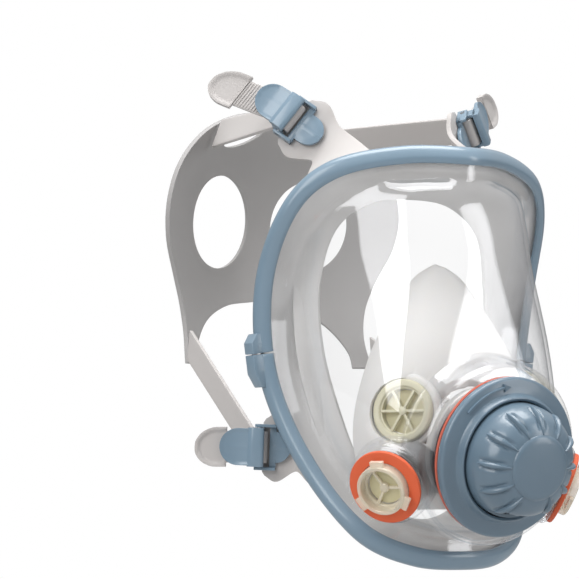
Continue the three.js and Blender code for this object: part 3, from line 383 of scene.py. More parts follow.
def material(name):
    made = bpy.data.materials.new(name)
    made.use_nodes = True
    nodes = made.node_tree.nodes
    return made, nodes, made.node_tree.links.new, nodes["Principled BSDF"]


def put(node, values):
    for socket, value in values.items():
        node.inputs[socket].default_value = value


def moulded(name, colour, roughness=0.4, grain=900, depth=0.02, mottle=0.06, coat=0.0, sheen=0.0, under=0.0,
            metallic=0.0):
    """Moulded plastic, rubber or metal: fine grain, faint mottling and uneven gloss."""
    made, nodes, link, shader = material(name)
    where = nodes.new("ShaderNodeTexCoord")
    fine, broad = nodes.new("ShaderNodeTexNoise"), nodes.new("ShaderNodeTexNoise")
    put(fine, {"Scale": grain, "Detail": 4})
    put(broad, {"Scale": 28, "Detail": 5})
    for texture in (fine, broad):
        link(where.outputs["Object"], texture.inputs["Vector"])
    tint = nodes.new("ShaderNodeMix")
    tint.data_type = "RGBA"
    darker, lighter = ([min(1, c * share) for c in colour] for share in (1 - mottle, 1 + mottle))
    put(tint, {"A": (*darker, 1), "B": (*lighter, 1)})
    link(broad.outputs["Fac"], tint.inputs["Factor"])
    link(tint.outputs["Result"], shader.inputs["Base Color"])
    gloss = nodes.new("ShaderNodeMapRange")
    put(gloss, {"To Min": max(0.02, roughness - 0.06), "To Max": roughness + 0.08})
    link(broad.outputs["Fac"], gloss.inputs["Value"])
    link(gloss.outputs["Result"], shader.inputs["Roughness"])
    bump = nodes.new("ShaderNodeBump")
    put(bump, {"Strength": 0.35, "Distance": depth * MM})
    link(fine.outputs["Fac"], bump.inputs["Height"])
    link(bump.outputs["Normal"], shader.inputs["Normal"])
    put(shader, {"Coat Weight": coat, "Coat Roughness": 0.12, "Sheen Weight": sheen, "Metallic": metallic})
    if under:
        put(shader, {"Subsurface Weight": under, "Subsurface Scale": 2 * MM,
                     "Subsurface Radius": (1.0, 0.8, 0.6)})
    return made


def clear(name, colour, roughness=0.03, least=0.05, gain=0.85, body=0.0):
    """Clear plastic: see-through face on, mirror-like at a slant, with a faint haze."""
    made, nodes, link, shader = material(name)
    put(shader, {"Base Color": (*colour, 1), "Metallic": 1 - body})
    where = nodes.new("ShaderNodeTexCoord")
    haze = nodes.new("ShaderNodeTexNoise")
    put(haze, {"Scale": 40})
    link(where.outputs["Object"], haze.inputs["Vector"])
    gloss = nodes.new("ShaderNodeMapRange")
    put(gloss, {"To Min": roughness, "To Max": roughness + 0.03})
    link(haze.outputs["Fac"], gloss.inputs["Value"])
    link(gloss.outputs["Result"], shader.inputs["Roughness"])
    slant = nodes.new("ShaderNodeLayerWeight")
    put(slant, {"Blend": 0.5})
    steep = nodes.new("ShaderNodeMath")
    steep.operation = "POWER"
    put(steep, {1: 3.2})
    link(slant.outputs["Facing"], steep.inputs[0])
    share = nodes.new("ShaderNodeMath")
    share.operation = "MULTIPLY_ADD"
    share.use_clamp = True
    put(share, {1: gain, 2: least})
    link(steep.outputs["Value"], share.inputs[0])
    link(share.outputs["Value"], shader.inputs["Alpha"])
    return made


BLUE = moulded("blue_plastic", (0.18, 0.262, 0.335), 0.3, grain=1400, depth=0.015, mottle=0.04, coat=0.5)
DARK_BLUE = moulded("cover_plastic", (0.12, 0.18, 0.235), 0.32, grain=1400, depth=0.015, mottle=0.04,
                    coat=0.4)
GREY_RUBBER = moulded("harness_rubber", (0.5, 0.475, 0.46), 0.55, grain=1100, depth=0.03, sheen=0.1)
CRADLE_RUBBER = moulded("cradle_rubber", (0.36, 0.35, 0.345), 0.6, grain=1100, depth=0.03, sheen=0.1)
SEAL_RUBBER = moulded("seal_rubber", (0.72, 0.71, 0.7), 0.5, grain=1100, depth=0.03, sheen=0.1)
WHITE_RUBBER = moulded("nose_cup_rubber", (0.76, 0.75, 0.735), 0.48, grain=900, depth=0.02, mottle=0.03,
                       under=0.12)
CREAM = moulded("valve_cream", (0.6, 0.56, 0.36), 0.45, grain=700, depth=0.02, under=0.1)
CREAM_SEAT = moulded("valve_seat_cream", (0.7, 0.67, 0.5), 0.4, grain=700, depth=0.02, under=0.1)
ORANGE = moulded("gasket_orange", (0.69, 0.115, 0.04), 0.62, grain=1500, depth=0.05, mottle=0.08)
RED = moulded("gasket_red", (0.55, 0.12, 0.075), 0.5, grain=900, depth=0.02)
GREY = moulded("inner_grey", (0.2, 0.2, 0.21), 0.45, grain=900, depth=0.02)
STEEL = moulded("steel", (0.62, 0.63, 0.65), 0.28, grain=1600, depth=0.01, mottle=0.03, metallic=1.0)
CLEAR = clear("visor_clear", (0.97, 0.98, 1.0))
AMBER = clear("port_clear", (0.9, 0.83, 0.68), roughness=0.12, least=0.5, gain=0.9, body=0.8)


# ------------------------------------------------------------ pieces

def piece(name, shapes, made, body, nodes=(), place=None, bevel=0.0, sharp=32, thick=0.0, offset=0,
          segments=3):
    """Object from shapes, with its modifiers applied, that rides on a CAD body."""
    points, faces, start = [], [], 0
    for shape_points, shape_faces in shapes if place is None else [moved(shape, place) for shape in shapes]:
        points.append(np.asarray(shape_points, float))
        faces += [tuple(int(start + k) for k in face) for face in shape_faces]
        start += len(shape_points)
    mesh = bpy.data.meshes.new(name)
    mesh.from_pydata([tuple(p) for p in np.concatenate(points) * MM], [], faces)
    work = bmesh.new()
    work.from_mesh(mesh)
    bmesh.ops.recalc_face_normals(work, faces=work.faces)
    work.to_mesh(mesh)
    work.free()
    obj = bpy.data.objects.new(name, mesh)
    bpy.context.scene.collection.objects.link(obj)
    if thick:
        wall = obj.modifiers.new("wall", "SOLIDIFY")
        wall.thickness, wall.offset = thick * MM, offset
    if bevel:
        edge = obj.modifiers.new("edge", "BEVEL")
        edge.width, edge.segments, edge.limit_method = bevel * MM, segments, "ANGLE"
        edge.angle_limit = math.radians(38)
        edge.use_clamp_overlap = True
    if thick or bevel:
        ready = obj.evaluated_get(bpy.context.evaluated_depsgraph_get())
        obj.data = bpy.data.meshes.new_from_object(ready)
        obj.modifiers.clear()
    obj.data.shade_smooth()
    obj.data.set_sharp_from_angle(angle=math.radians(sharp))
    obj.data.materials.clear()
    obj.data.materials.append(made)
    if body:
        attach(obj, body)
    if nodes:
        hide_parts(*nodes)
    return obj


# ------------------------------------------------------------ frame

def frame_band(start, end):
    count = int((end - start) * 300)
    t = np.linspace(start, end, count)
    width = FRAME_TOP + (FRAME_SIDE - FRAME_TOP) * sideways(t) ** 2
    back = -FRAME_DEPTH
    none = 0 * width
    outline = [
        (none, 0), (0.08 * width, 0.35), (0.25 * width, 1), (0.4 * width, 0.85), (0.75 * width, -0.8),
        (0.9 * width, -2.1), (width, -4), (width, 0.65 * back), (0.88 * width, 0.84 * back),
        (0.6 * width, back), (none, back), (none, back + FRAME_LIP), (GROOVE + none, back + FRAME_LIP),
        (GROOVE + none, -FRAME_LIP), (none, -FRAME_LIP),
    ]
    sections = np.stack([beside_rim(t, out, ahead) for out, ahead in outline], axis=1)
    return loft(sections)


def split_matrix(side):
    t = SPLIT if side > 0 else 1 - SPLIT
    d = along(RIM_WAY, t) * -side
    up = unit(np.array([d[0], 0, d[2]]))
    outward = np.array([side * up[2], 0, -side * up[0]])
    return axes(outward, up, np.cross(outward, up), along(RIM, t))


def lug(side, height, sense):
    matrix = split_matrix(side)
    back = -LUG_DEPTH - 1.5 if matrix[1, 2] < 0 else 1.5
    foot = GROOVE + 0.8
    outline = [
        (foot, 0.25 * sense), (LUG_REACH, 0.25 * sense), (LUG_REACH, 0.58 * height * sense),
        (foot + 3.5, height * sense), (foot, height * sense),
    ]
    return moved(prism(outline, back, back + LUG_DEPTH), matrix)


def build_frame():
    for name, start, end, height, sense in (
        ("upper_frame", -SPLIT + SPLIT_GAP, SPLIT - SPLIT_GAP, LUG_UPPER, 1),
        ("lower_frame", SPLIT + SPLIT_GAP, 1 - SPLIT - SPLIT_GAP, LUG_LOWER, -1),
    ):
        shapes = [frame_band(start, end)] + [lug(side, height, sense) for _, side in SIDES]
        piece(f"{name}_shell", shapes, BLUE, "mask", [name], bevel=0.5)
    for word, side in SIDES:
        matrix = split_matrix(side)
        front = 1 if matrix[1, 2] < 0 else -1
        middle = front * (-LUG_DEPTH / 2 - 1.5)
        upright = Matrix.Translation((SCREW_OUT, 0, middle)) @ Matrix.Rotation(-math.pi / 2, 4, "X")
        place = matrix @ np.array(upright)
        screw = [
            (0, -9.4), (1.5, -9.4), (1.5, 3.7), (2.3, 3.7), (2.3, 6), (1.9, 6.4), (1.1, 6.4), (1.1, 5.2),
            (0, 5.2),
        ]
        piece(f"screw_{word}", [lathe(screw, 32)], STEEL, "mask", [f"frame_screw_{word}"],
              place=place)
        nut = [(1.7, -9.9), (2.3, -9.9), (2.3, -7.8), (1.7, -7.8)]
        piece(f"nut_{word}", [lathe(nut, 6)], STEEL, "mask", [f"frame_nut_{word}"], place=place,
              bevel=0.15)


# ------------------------------------------------------------ visor

def visor_panel():
    t = np.arange(RIM_STATIONS) / RIM_STATIONS
    step = -FRAME_LIP - GAP
    columns = [beside_rim(t, GROOVE - 2 * GAP, step), beside_rim(t, 1.5, step), beside_rim(t, -GAP, step)]
    width = flange_width(t)
    columns += [beside_rim(t, -s * width, step) for s in (0.3, 0.6, 0.9)]
    corner = beside_rim(t, -width, step)
    middle = np.array([0, 0, VISOR_MIDDLE_Z])
    shares = np.concatenate([[0, 0.008, 0.02, 0.035, 0.055, 0.08, 0.11], np.linspace(0.15, 0.985, 30)])
    for share in shares:
        flat = corner * (1 - share) + middle * share
        inward = np.hypot(corner[:, 0] - flat[:, 0], corner[:, 2] - flat[:, 2])
        rise = 1 - np.maximum(0, 1 - inward / 11) ** 3
        base = -corner[:, 1] - FACE_DEPTH
        forward = base + (panel_forward(flat[:, 0], flat[:, 2]) - base) * rise
        columns.append(np.stack([flat[:, 0], -(forward + FACE_DEPTH), flat[:, 2]], axis=1))
    points, faces = skin(np.stack(columns, axis=1), closed=True)
    count = len(columns)
    centre = at(0, panel_forward(0, VISOR_MIDDLE_Z), VISOR_MIDDLE_Z)
    for i in range(RIM_STATIONS):
        following = (i + 1) % RIM_STATIONS
        faces.append((i * count + count - 1, following * count + count - 1, len(points)))
    return np.concatenate([points, [centre]]), faces


def boss(matrix, radius, seat, lip, deepest, flare):
    """Clear collar from a port's seat down to the panel, with a flared foot."""
    half = DENSE_RIM // 2
    rim_z, rim_forward = RIM[:half, 2], -RIM[:half, 1] - FACE_DEPTH
    rows = []
    angles = np.linspace(0, 2 * np.pi, 120, endpoint=False)
    for angle in angles:
        depths = np.arange(seat - 3, deepest, -0.25)
        none = 0 * depths
        local = np.stack([radius * np.cos(angle) + none, radius * np.sin(angle) + none, depths], 1)
        world = local @ matrix[:3, :3].T + matrix[:3, 3]
        forward = -world[:, 1] - FACE_DEPTH
        edge = np.interp(world[:, 2], rim_z[::-1], rim_forward[::-1]) - FRAME_LIP
        hit = np.nonzero(forward <= np.maximum(panel_forward(world[:, 0], world[:, 2]), edge) - 0.4)[0]
        rows.append(depths[hit[0]] if len(hit) else deepest)
    depth = np.array(rows)
    for _ in range(3):
        depth = (np.roll(depth, 1) + 2 * depth + np.roll(depth, -1)) / 4
    rings = []
    for r, z in ((lip, seat), (radius - 3.6, seat), (radius - 1.6, seat - 0.7), (radius - 0.5, seat - 2)):
        rings.append(np.stack([r * np.cos(angles), r * np.sin(angles), z + 0 * angles], 1))
    for share in np.linspace(0, 1, 14):
        r = radius + flare * share**4
        z = (seat - 3.4) * (1 - share) + depth * share
        rings.append(np.stack([r * np.cos(angles), r * np.sin(angles), z], 1))
    grid = np.stack(rings, axis=1)
    points, faces = skin(grid, closed=True)
    return points @ matrix[:3, :3].T + matrix[:3, 3], faces


def build_visor():
    shapes = [visor_panel(), boss(CENTRE, CENTRE_BOSS, CENTRE_SEAT, CENTRE_BORE, -46, 2.5)]
    for _, side in SIDES:
        shapes.append(boss(side_matrix(side), PORT_GASKET + 1.6, SIDE_SEAT, PORT_RADIUS + GAP, -26, 0.6))
    piece("visor", shapes, CLEAR, "mask", ["visor_lens"], thick=VISOR_WALL - 0.5, bevel=0.4,
          sharp=50)


# ------------------------------------------------------------ face seal

def seal_ring():
    t = np.arange(RIM_STATIONS) / RIM_STATIONS
    edge = beside_rim(t, GROOVE - 2 * GAP, SEAL_CLAMP)
    mouth = beside_rim(t, -GAP, SEAL_CLAMP)
    fold = beside_rim(t, 4 - flange_width(t), SEAL_FOLD)
    lip = along(LIP, t)
    outward = mouth - lip
    outward[:, 1] = 0
    outward = unit(outward)
    slope = fold * 0.45 + lip * 0.55 + np.array([0, 3, 0])
    back = lip + outward * 4 + np.array([0, 5, 0])
    reflex = lip + outward * 12 + np.array([0, 8, 0])
    curved = eased([mouth, fold, slope, lip, back, reflex], 46)
    return skin(np.concatenate([[edge, edge * 0.5 + mouth * 0.5], curved]).transpose(1, 0, 2), closed=True)


def buckle_axes(buckle, side):
    flip = np.array([side, 1, 1])
    lever = way(*buckle["lever"]) * flip
    rough = way(*buckle["across"]) * flip
    across = unit(rough - lever * rough.dot(lever))
    out = unit(np.cross(lever, across) * -side)
    return lever, across, out, at(*buckle["bar"]) * flip


def seal_tab(buckle, side):
    lever, across, out, bar = buckle_axes(buckle, side)
    t = buckle["rim"] if side > 0 else 1 - buckle["rim"]
    sense = np.sign(along(RIM_WAY, t).dot(across))
    places = np.linspace(-1, 1, 21)
    stations = t + places * sense * TAB_ROOT
    mouth = beside_rim(stations, -GAP, SEAL_CLAMP)
    fold = beside_rim(stations, 4 - flange_width(stations), SEAL_FOLD)
    root = mouth * 0.4 + fold * 0.6
    behind = beside_rim(stations, -1, -FRAME_DEPTH - 4)

    def under(distance, half):
        return bar - lever * distance + out * TAB_UNDER + across * (half * places)[:, None]

    waist = under(buckle["base"] + 9, 12.6)
    rows = [root, behind, behind * 0.45 + waist * 0.55, waist, under(buckle["base"] / 2 + 4, 18.6),
            under(3, 15.5)]
    grid = eased(rows, 44)
    last = under(1.6, 13.4)
    return skin(np.concatenate([grid, [last]]))


def build_seal():
    piece("face_seal_ring", [seal_ring()], SEAL_RUBBER, "mask", ["face_seal"],
          thick=SEAL_WALL - 0.4, bevel=0.6, sharp=50)
    tabs = [seal_tab(buckle, side) for buckle in BUCKLES.values() for _, side in SIDES]
    piece("face_seal_tabs", tabs, GREY_RUBBER, "mask", thick=SEAL_WALL, bevel=0.9, sharp=50)


# ------------------------------------------------------------ nose cup

def cup_forward(half, front, angle):
    x = np.sign(np.cos(angle)) * np.abs(np.cos(angle)) ** 0.9 * half
    return x, CUP_BACK + (front - CUP_BACK) * np.sin(angle) ** 0.8


def build_nose_cup():
    angles = np.linspace(0, np.pi, 73)
    heights = eased(np.array(CUP_SECTIONS), 64)
    rows = []
    for z, half, front in heights:
        x, forward = cup_forward(half, front, angles)
        rows.append(np.stack([x, -(forward + FACE_DEPTH), z + 0 * x], 1))
    for share in (0.6, 0.25, 0.03):
        z, half, front = heights[0]
        middle = rows[0].mean(0)
        forward = CUP_BACK + (front - CUP_BACK) * share * np.sin(angles)
        across = middle[0] + (half * share) * np.cos(angles)
        rows.insert(0, np.stack([across, -(forward + FACE_DEPTH), z + 2.2 * (1 - share) + 0 * angles], 1))
    grid = np.array(rows)
    hub = CENTRE[:3, 3]
    axis = CENTRE[:3, 2]
    away = grid - hub
    depth = away @ axis
    radial = np.linalg.norm(away - depth[..., None] * axis, axis=2)
    cup_bore, valve_bore = CENTRE_BORE + 0.2, CUP_VALVE_RADIUS + 0.6
    keep = (radial > cup_bore) | (depth < -60)
    for _, side in SIDES:
        matrix = cup_matrix(side)
        away = grid - matrix[:3, 3]
        deep = away @ matrix[:3, 2]
        wide = np.linalg.norm(away - deep[..., None] * matrix[:3, 2], axis=2)
        keep &= (wide > valve_bore) | (np.abs(deep) > 20)
    points, faces = skin(grid)
    flat = keep.reshape(-1)
    edge = {k for face in faces if not all(flat[j] for j in face) for k in face if flat[k]}
    faces = [face for face in faces if all(flat[k] for k in face)]
    for matrix, radius in ((CENTRE, cup_bore), (cup_matrix(1), valve_bore), (cup_matrix(-1), valve_bore)):
        for k in edge:
            local = (points[k] - matrix[:3, 3]) @ matrix[:3, :3]
            wide = np.hypot(local[0], local[1])
            if wide < radius + 4 and abs(local[2]) < 60:
                local[:2] *= radius / wide
                points[k] = matrix[:3, :3] @ local + matrix[:3, 3]
    used = sorted({k for face in faces for k in face})
    number = {k: i for i, k in enumerate(used)}
    cup = (points[used], [tuple(number[k] for k in face) for face in faces])
    piece("nose_cup_shell", [cup], WHITE_RUBBER, "mask", ["nose_cup"], thick=CUP_WALL - 0.2,
          bevel=0.5, sharp=60)
    neck = rounded([(cup_bore, -29), (cup_bore + 2, -29), (cup_bore + 3, -23), (cup_bore, -22)], 1)
    collars = [moved(lathe(neck, 96), CENTRE)]
    for _, side in SIDES:
        pad = rounded([(14.5, -7), (19.5, -8), (20.6, -2.2), (19.2, -0.4), (14.5, -0.5)], 1.2)
        collars.append(moved(lathe(pad, 72), cup_matrix(side)))
    piece("nose_cup_collars", collars, WHITE_RUBBER, "mask")
    for word, side in SIDES:
        matrix = cup_matrix(side)
        outer = CUP_VALVE_RADIUS
        rim = rounded([
            (12, -5), (14, -5), (14, -0.3), (outer, -0.3), (outer, 2.2), (outer - 0.8, 2.9), (13.4, 2.9),
            (12.6, 1.6), (12, 1.6),
        ], 0.5)
        shapes = [lathe(rim, 72), lathe([(0, 0.1), (2.4, 0.1), (2.4, 2), (1.4, 2.6), (0, 2.6)], 32)]
        for i in range(6):
            shapes.append(turned_z(block(12, 1.5, 1.6, 6.6, 0, 1.1), math.pi * i / 3))
        piece(f"nose_valve_{word}", shapes, CREAM_SEAT, "mask", [f"nose_valve_seat_{word}"],
              place=matrix, bevel=0.3)
        flap = [(0, -2.6), (11.2, -2.6), (11.6, -2.3), (11.6, -1.9), (8, -1.7), (0, -1.8)]
        piece(f"nose_flap_disc_{word}", [lathe(flap, 64)], CREAM, f"nose_flap_{word}",
              [f"nose_valve_flap_{word}"], place=matrix)


# ------------------------------------------------------------ ports

def build_side_ports():
    for word, side in SIDES:
        matrix = side_matrix(side)
        bore, rim = PORT_RADIUS + GAP, PORT_GASKET
        edge = [(rim - 0.4, -2.6), (rim, -2), (rim, -0.4), (rim - 0.4, 0)]
        gasket = rounded([(bore, -2.6), *edge, (bore, 0)], 0.4)
        piece(f"gasket_{word}", [lathe(gasket, 96)], ORANGE, "mask", [f"port_gasket_{word}"],
              place=matrix)
        outer = PORT_RADIUS
        tube = rounded([(11.3, -11.5), (outer, -11.5), (outer, 4.9), (outer - 0.6, 5.5), (11.3, 5.5)], 0.5)
        shapes = [lathe(tube, 80), lathe([(0, -1.6), (2.6, -1.6), (2.6, 0.6), (1.6, 1.1), (0, 1.1)], 32),
                  lathe([(9.8, -1.6), (11.4, -1.6), (11.4, 0.4), (9.8, 0.4)], 80)]
        for i in range(3):
            angle = 2 * math.pi * i / 3
            shapes.append(turned_z(block(10.5, 1.6, 1.8, 5.6, 0, -0.5), angle))
            shapes.append(turned_z(block(3.8, 7.5, 2.3, 14.3, 0, 3.7), angle + math.pi / 2))
        piece(f"port_{word}", shapes, AMBER, "mask", [f"port_body_{word}"], place=matrix, bevel=0.35)
        disc = [(0, -3.2), (9.2, -3.2), (9.4, -2.9), (9.4, -2.4), (0, -2.2)]
        piece(f"port_flap_disc_{word}", [lathe(disc, 64)], CREAM, f"port_flap_{word}",
              [f"port_valve_{word}"], place=matrix)
        ring = rounded([(bore, -9.2), (17, -9.2), (18.5, -6.2), (bore, -6.2)], 0.4)
        piece(f"clamp_ring_{word}", [lathe(ring, 72)], GREY, "mask", [f"port_ring_{word}"],
              place=matrix)


def flange_arrow():
    """Raised turning arrow on the flange."""
    start, end, radius, half = math.radians(142), math.radians(103), 38.2, 0.75
    points = []
    for share in np.linspace(0, 1, 26):
        angle = start + (end - start) * share
        points.append([((radius + k * half) * math.cos(angle), (radius + k * half) * math.sin(angle), z)
                       for k, z in ((-1, 0.2), (-0.7, 1.7), (0.7, 1.7), (1, 0.2))])
    tip, back = end - math.radians(5.5), end + math.radians(0.6)
    corners = ((radius + 2.1, back), (radius, tip), (radius - 2.1, back))
    head = [(r * math.cos(angle), r * math.sin(angle)) for r, angle in corners]
    return [loft(points), prism(head, 0.2, 1.7)]


DOME_PROFILE = [
    (30.4, 1.6), (30.4, 8), (29.8, 13), (28.2, 18), (25, 22.9), (20.6, 26), (18.4, 27), (17.4, 27.3),
]
DISC_PROFILE = [(17.0, 28.1), (16.2, 28.6), (10, 29.5), (0, 30)]
RIB_COUNT = 11


def dome_cover():
    """Dome with a flat front disc, hollows beside its ribs, and an outlet slot at its bottom."""
    profile = np.concatenate([spline(DOME_PROFILE, 44), spline(DISC_PROFILE, 12)])
    angles = np.linspace(-np.pi, np.pi, 288, endpoint=False)
    spacing = 2 * np.pi / (RIB_COUNT + 1)
    from_bottom = np.abs((angles + np.pi / 2 + np.pi) % (2 * np.pi) - np.pi)
    off_rib = (angles + np.pi / 2) % spacing
    off_rib = np.minimum(off_rib, spacing - off_rib)
    rows = []
    for r, z in profile:
        across = off_rib * r
        shoulder = smooth(13, 16, z) * (1 - smooth(24.5, 27, z))
        hollow = 0.8 * shoulder * np.exp(-(((across - 1.9) / 0.9) ** 2)) * (from_bottom > spacing / 2)
        near = r - hollow
        rows.append(np.stack([near * np.cos(angles), near * np.sin(angles), z - 0.6 * hollow], 1))
    points, faces = skin(np.array(rows).transpose(1, 0, 2), closed=True)
    kept = []
    for face in faces:
        z = points[list(face), 2].mean()
        away = from_bottom[face[0] // len(profile)]
        slot = OUTLET_HEIGHT * (1 - 0.3 * (away / OUTLET_HALF) ** 4)
        if away > OUTLET_HALF or not OUTLET_FROM < z < OUTLET_FROM + slot:
            kept.append(face)
    return points, kept


def dome_rib(angle):
    """Leaf-shaped rib that crosses the dome's shoulder."""
    path = spline(DOME_PROFILE[2:], 24)
    sections = []
    for i, (r, z) in enumerate(path):
        share = (i + 0.4) / len(path)
        ahead = path[min(i + 1, len(path) - 1)] - path[max(i - 1, 0)]
        normal = np.array([ahead[1], -ahead[0]]) / np.linalg.norm(ahead)
        half = 0.15 + 1.45 * math.sin(math.pi * share) ** 0.8 * (1.25 - 0.5 * share)
        rise = 0.1 + 1.5 * math.sin(math.pi * share) ** 0.6
        outline = []
        for across, up in ((-1, -0.8), (-0.9, 0.35), (-0.35, 0.95), (0.35, 0.95), (0.9, 0.35), (1, -0.8)):
            flat = np.array([r, z]) + normal * (up * rise if up > 0 else up)
            outline.append((flat[0], half * across, flat[1]))
        sections.append(outline)
    return turned_z(loft(sections), angle)


def build_centre():
    rim = COVER_FLANGE
    flange = [
        (CENTRE_BORE, -5), (rim - 1, -5), (rim, -4), (rim, -1.2), (rim - 1, 0), (38, 0.55), (34.6, 1.3),
        (33.7, 3.6), (33.2, 5.1), (32.5, 5.5), (31.8, 5.0), (CENTRE_BORE, 4.2),
    ]
    shapes = [lathe(rounded(flange, 0.5), 160)] + flange_arrow()
    piece("flange", shapes, DARK_BLUE, "mask", ["cover_flange"], place=CENTRE, sharp=28)
    outer = rim - 0.4
    gasket = rounded([(CENTRE_BORE, -7.1), (outer, -7.1), (outer, -5.3), (CENTRE_BORE, -5.3)], 0.4)
    piece("flange_gasket", [lathe(gasket, 128)], RED, "mask", ["centre_gasket"], place=CENTRE)
    outer = CENTRE_BORE - GAP
    adapter = rounded([
        (27.1, -30), (outer, -30), (outer, -13.7), (outer + 5, -13.7), (outer + 5, -10.7), (outer, -10.7),
        (outer, 1), (27.1, 1),
    ], 0.5)
    piece("adapter", [lathe(adapter, 96)], GREY, "mask", ["centre_adapter"], place=CENTRE)
    seat = [lathe([(20.8, -12), (26.8, -12), (26.8, -9.2), (26.2, -8.6), (20.8, -8.6)], 96),
            lathe([(0, -12), (4, -12), (4, -9.2), (0, -9.2)], 40)]
    seat += [turned_z(block(21.8, 1.6, 2.4, 10.9, 0, -10.3), math.pi * i / 3) for i in range(6)]
    piece("exhale_seat", seat, GREY, "mask", ["exhale_valve_seat"], place=CENTRE, bevel=0.25)
    flap = [(0, -8.2), (22.9, -8.2), (23.3, -7.9), (23.3, -7.5), (16, -7.2), (0, -7.2)]
    piece("exhale_disc", [lathe(flap, 80)], CREAM, "exhale_flap", ["exhale_valve_flap"],
          place=CENTRE)
    piece("cover_dome", [dome_cover()], DARK_BLUE, "cover", ["exhale_cover"], place=CENTRE, thick=2,
          offset=-1, bevel=0.4, sharp=40)
    first = -math.pi / 2
    spacing = 2 * math.pi / (RIB_COUNT + 1)
    ribs = [dome_rib(first + spacing * (i + 1)) for i in range(RIB_COUNT)]
    piece("cover_ribs", ribs, DARK_BLUE, "cover", place=CENTRE, bevel=0.2, sharp=45, segments=2)


# ------------------------------------------------------------ harness

CRADLE_HALF = [
    (0, 151), (20, 150), (40, 144), (58, 133), (74, 114), (80, 93), (78, 74), (70, 55), (64, 38), (62, 21),
    (64, 3), (54, 3), (53, 12), (42, 28), (24, 38), (0, 42),
]


def oval(x, z, rx, rz, tilt, count):
    a = np.linspace(0, 2 * np.pi, count, endpoint=False)
    u, v = rx * np.cos(a), rz * np.sin(a)
    cos, sin = math.cos(tilt), math.sin(tilt)
    return np.stack([x + u * cos - v * sin, z + u * sin + v * cos], 1)


def build_cradle():
    right = spline(CRADLE_HALF[:11], 60)
    arch = spline(CRADLE_HALF[11:], 34)
    half = np.concatenate([right, arch])
    far = half[1:-1][::-1] * np.array([-1, 1])
    outline = np.concatenate([half, far])
    holes = [oval(side * 31, 87, 23, 27, 0, 72) for _, side in SIDES]
    holes += [oval(side * 20, 137.5, 16, 4.6, -side * 0.38, 48) for _, side in SIDES]
    loops = [outline, *holes]

    def face(sign):
        def place(flat):
            x, z = flat[:, 0], flat[:, 1]
            gap = np.min([edge_distance(loop, flat) for loop in loops], axis=0)
            half_wall = 1.05 + 0.25 * (1 - smooth(2.0, 3.2, gap))
            normal = unit(np.stack([0.0096 * x, 1 + 0 * x, 0.005 * (z - 60)], 1))
            middle = np.stack([x, -(cradle_forward(x, z) + FACE_DEPTH), z], 1)
            return middle + normal * (sign * half_wall)[:, None]
        return place

    piece("cradle", [plate(outline, holes, 2.6, face(1), face(-1))], CRADLE_RUBBER, "harness",
          ["head_cradle"], bevel=0.6, sharp=50)


def buckle_matrix(buckle, side):
    lever, _, out, bar = buckle_axes(buckle, side)
    return axes(np.cross(lever, out), lever, out, bar)


def strap_path(buckle, side):
    """Rows of the strap's middle and width direction from the cradle on, and the tail's own path."""
    lever, across, out, bar = buckle_axes(buckle, side)
    x, z = buckle["start"]
    start = at(side * x, cradle_forward(x, z) + CRADLE_SEAT, z)
    first = way(side * buckle["way"][0], *buckle["way"][1:])
    first = -first if first.dot(across) < 0 else first
    approach = bar - out * STRAP_LOOP + lever * 3
    rows = []
    for share in (0, 0.35, 0.7, 0.94, 1):
        twist = first + (across - first) * min(1, share * 1.15)
        rows.append((start + (approach - start) * share, twist))
    for angle in (-0.9, -0.3, 0.3, 0.9):
        round_bar = -lever * STRAP_LOOP * math.cos(angle) + out * STRAP_LOOP * math.sin(angle)
        rows.append((bar + round_bar, across))

    def tail(distance):
        lift = STRAP_LOOP + TAIL_RISE * max(0, distance - LEVER_LENGTH)
        shift = buckle["swing"] * max(0, distance - SWING_FROM)
        return bar + lever * distance + out * lift + across * shift

    for distance in (2, 7, 12, 17, buckle["tail"] + 1):
        rows.append((tail(distance), across))
    return rows, tail


def strap_body(buckle, side):
    rows, _ = strap_path(buckle, side)
    widths = STRAP_HALF * np.linspace(-1, 1, 9)
    grid = np.array([centre + unit(wide) * widths[:, None] for centre, wide in rows])
    return skin(eased(grid, 150))


def tail_ribs(buckle, side):
    """Fine cross ribs on the strap between its buckle and its pull tab."""
    _, tail = strap_path(buckle, side)
    _, across, out, _ = buckle_axes(buckle, side)
    shapes = []
    for distance in np.arange(8, buckle["tail"] - 0.5, 1.55):
        centre = tail(distance) + out * 1.05
        matrix = axes(across, unit(np.cross(out, across)), out, centre)
        shapes.append(moved(block(15.6, 0.8, 1.1), matrix))
    return shapes


def pull_tab(buckle, side):
    """D-shaped tab with a raised rim along its curved edge."""
    _, tail = strap_path(buckle, side)
    _, across, out, _ = buckle_axes(buckle, side)
    wide = PULL_HALF
    shape = [
        (-wide, 0), (-wide, 4), (-wide * 0.97, 8), (-wide * 0.72, 13.4), (-wide * 0.3, 16.6),
        (0, PULL_LENGTH),
    ]
    curve = spline(shape, 26)
    outline = np.concatenate([curve, curve[:-1][::-1] * np.array([-1, 1])])

    def face(low, high):
        def place(flat):
            gap = edge_distance(outline, flat, closed=False)
            height = low + (high - low) * (1 - smooth(1.2, 3.0, gap))
            base = np.array([tail(buckle["tail"] + y) for y in flat[:, 1]])
            return base + across * flat[:, 0:1] + out * height[:, None]
        return place

    return plate(outline, [], 0.8, face(0.9, 2.1), face(-1.0, -1.3))


def rounded_end(width, start, length, count=28):
    reach = width / 2
    a = np.linspace(0, np.pi, count)
    arc = np.stack([reach * np.cos(a), start + length - reach + reach * np.sin(a)], 1)
    return np.concatenate([[(-reach, start), (reach, start)], arc])


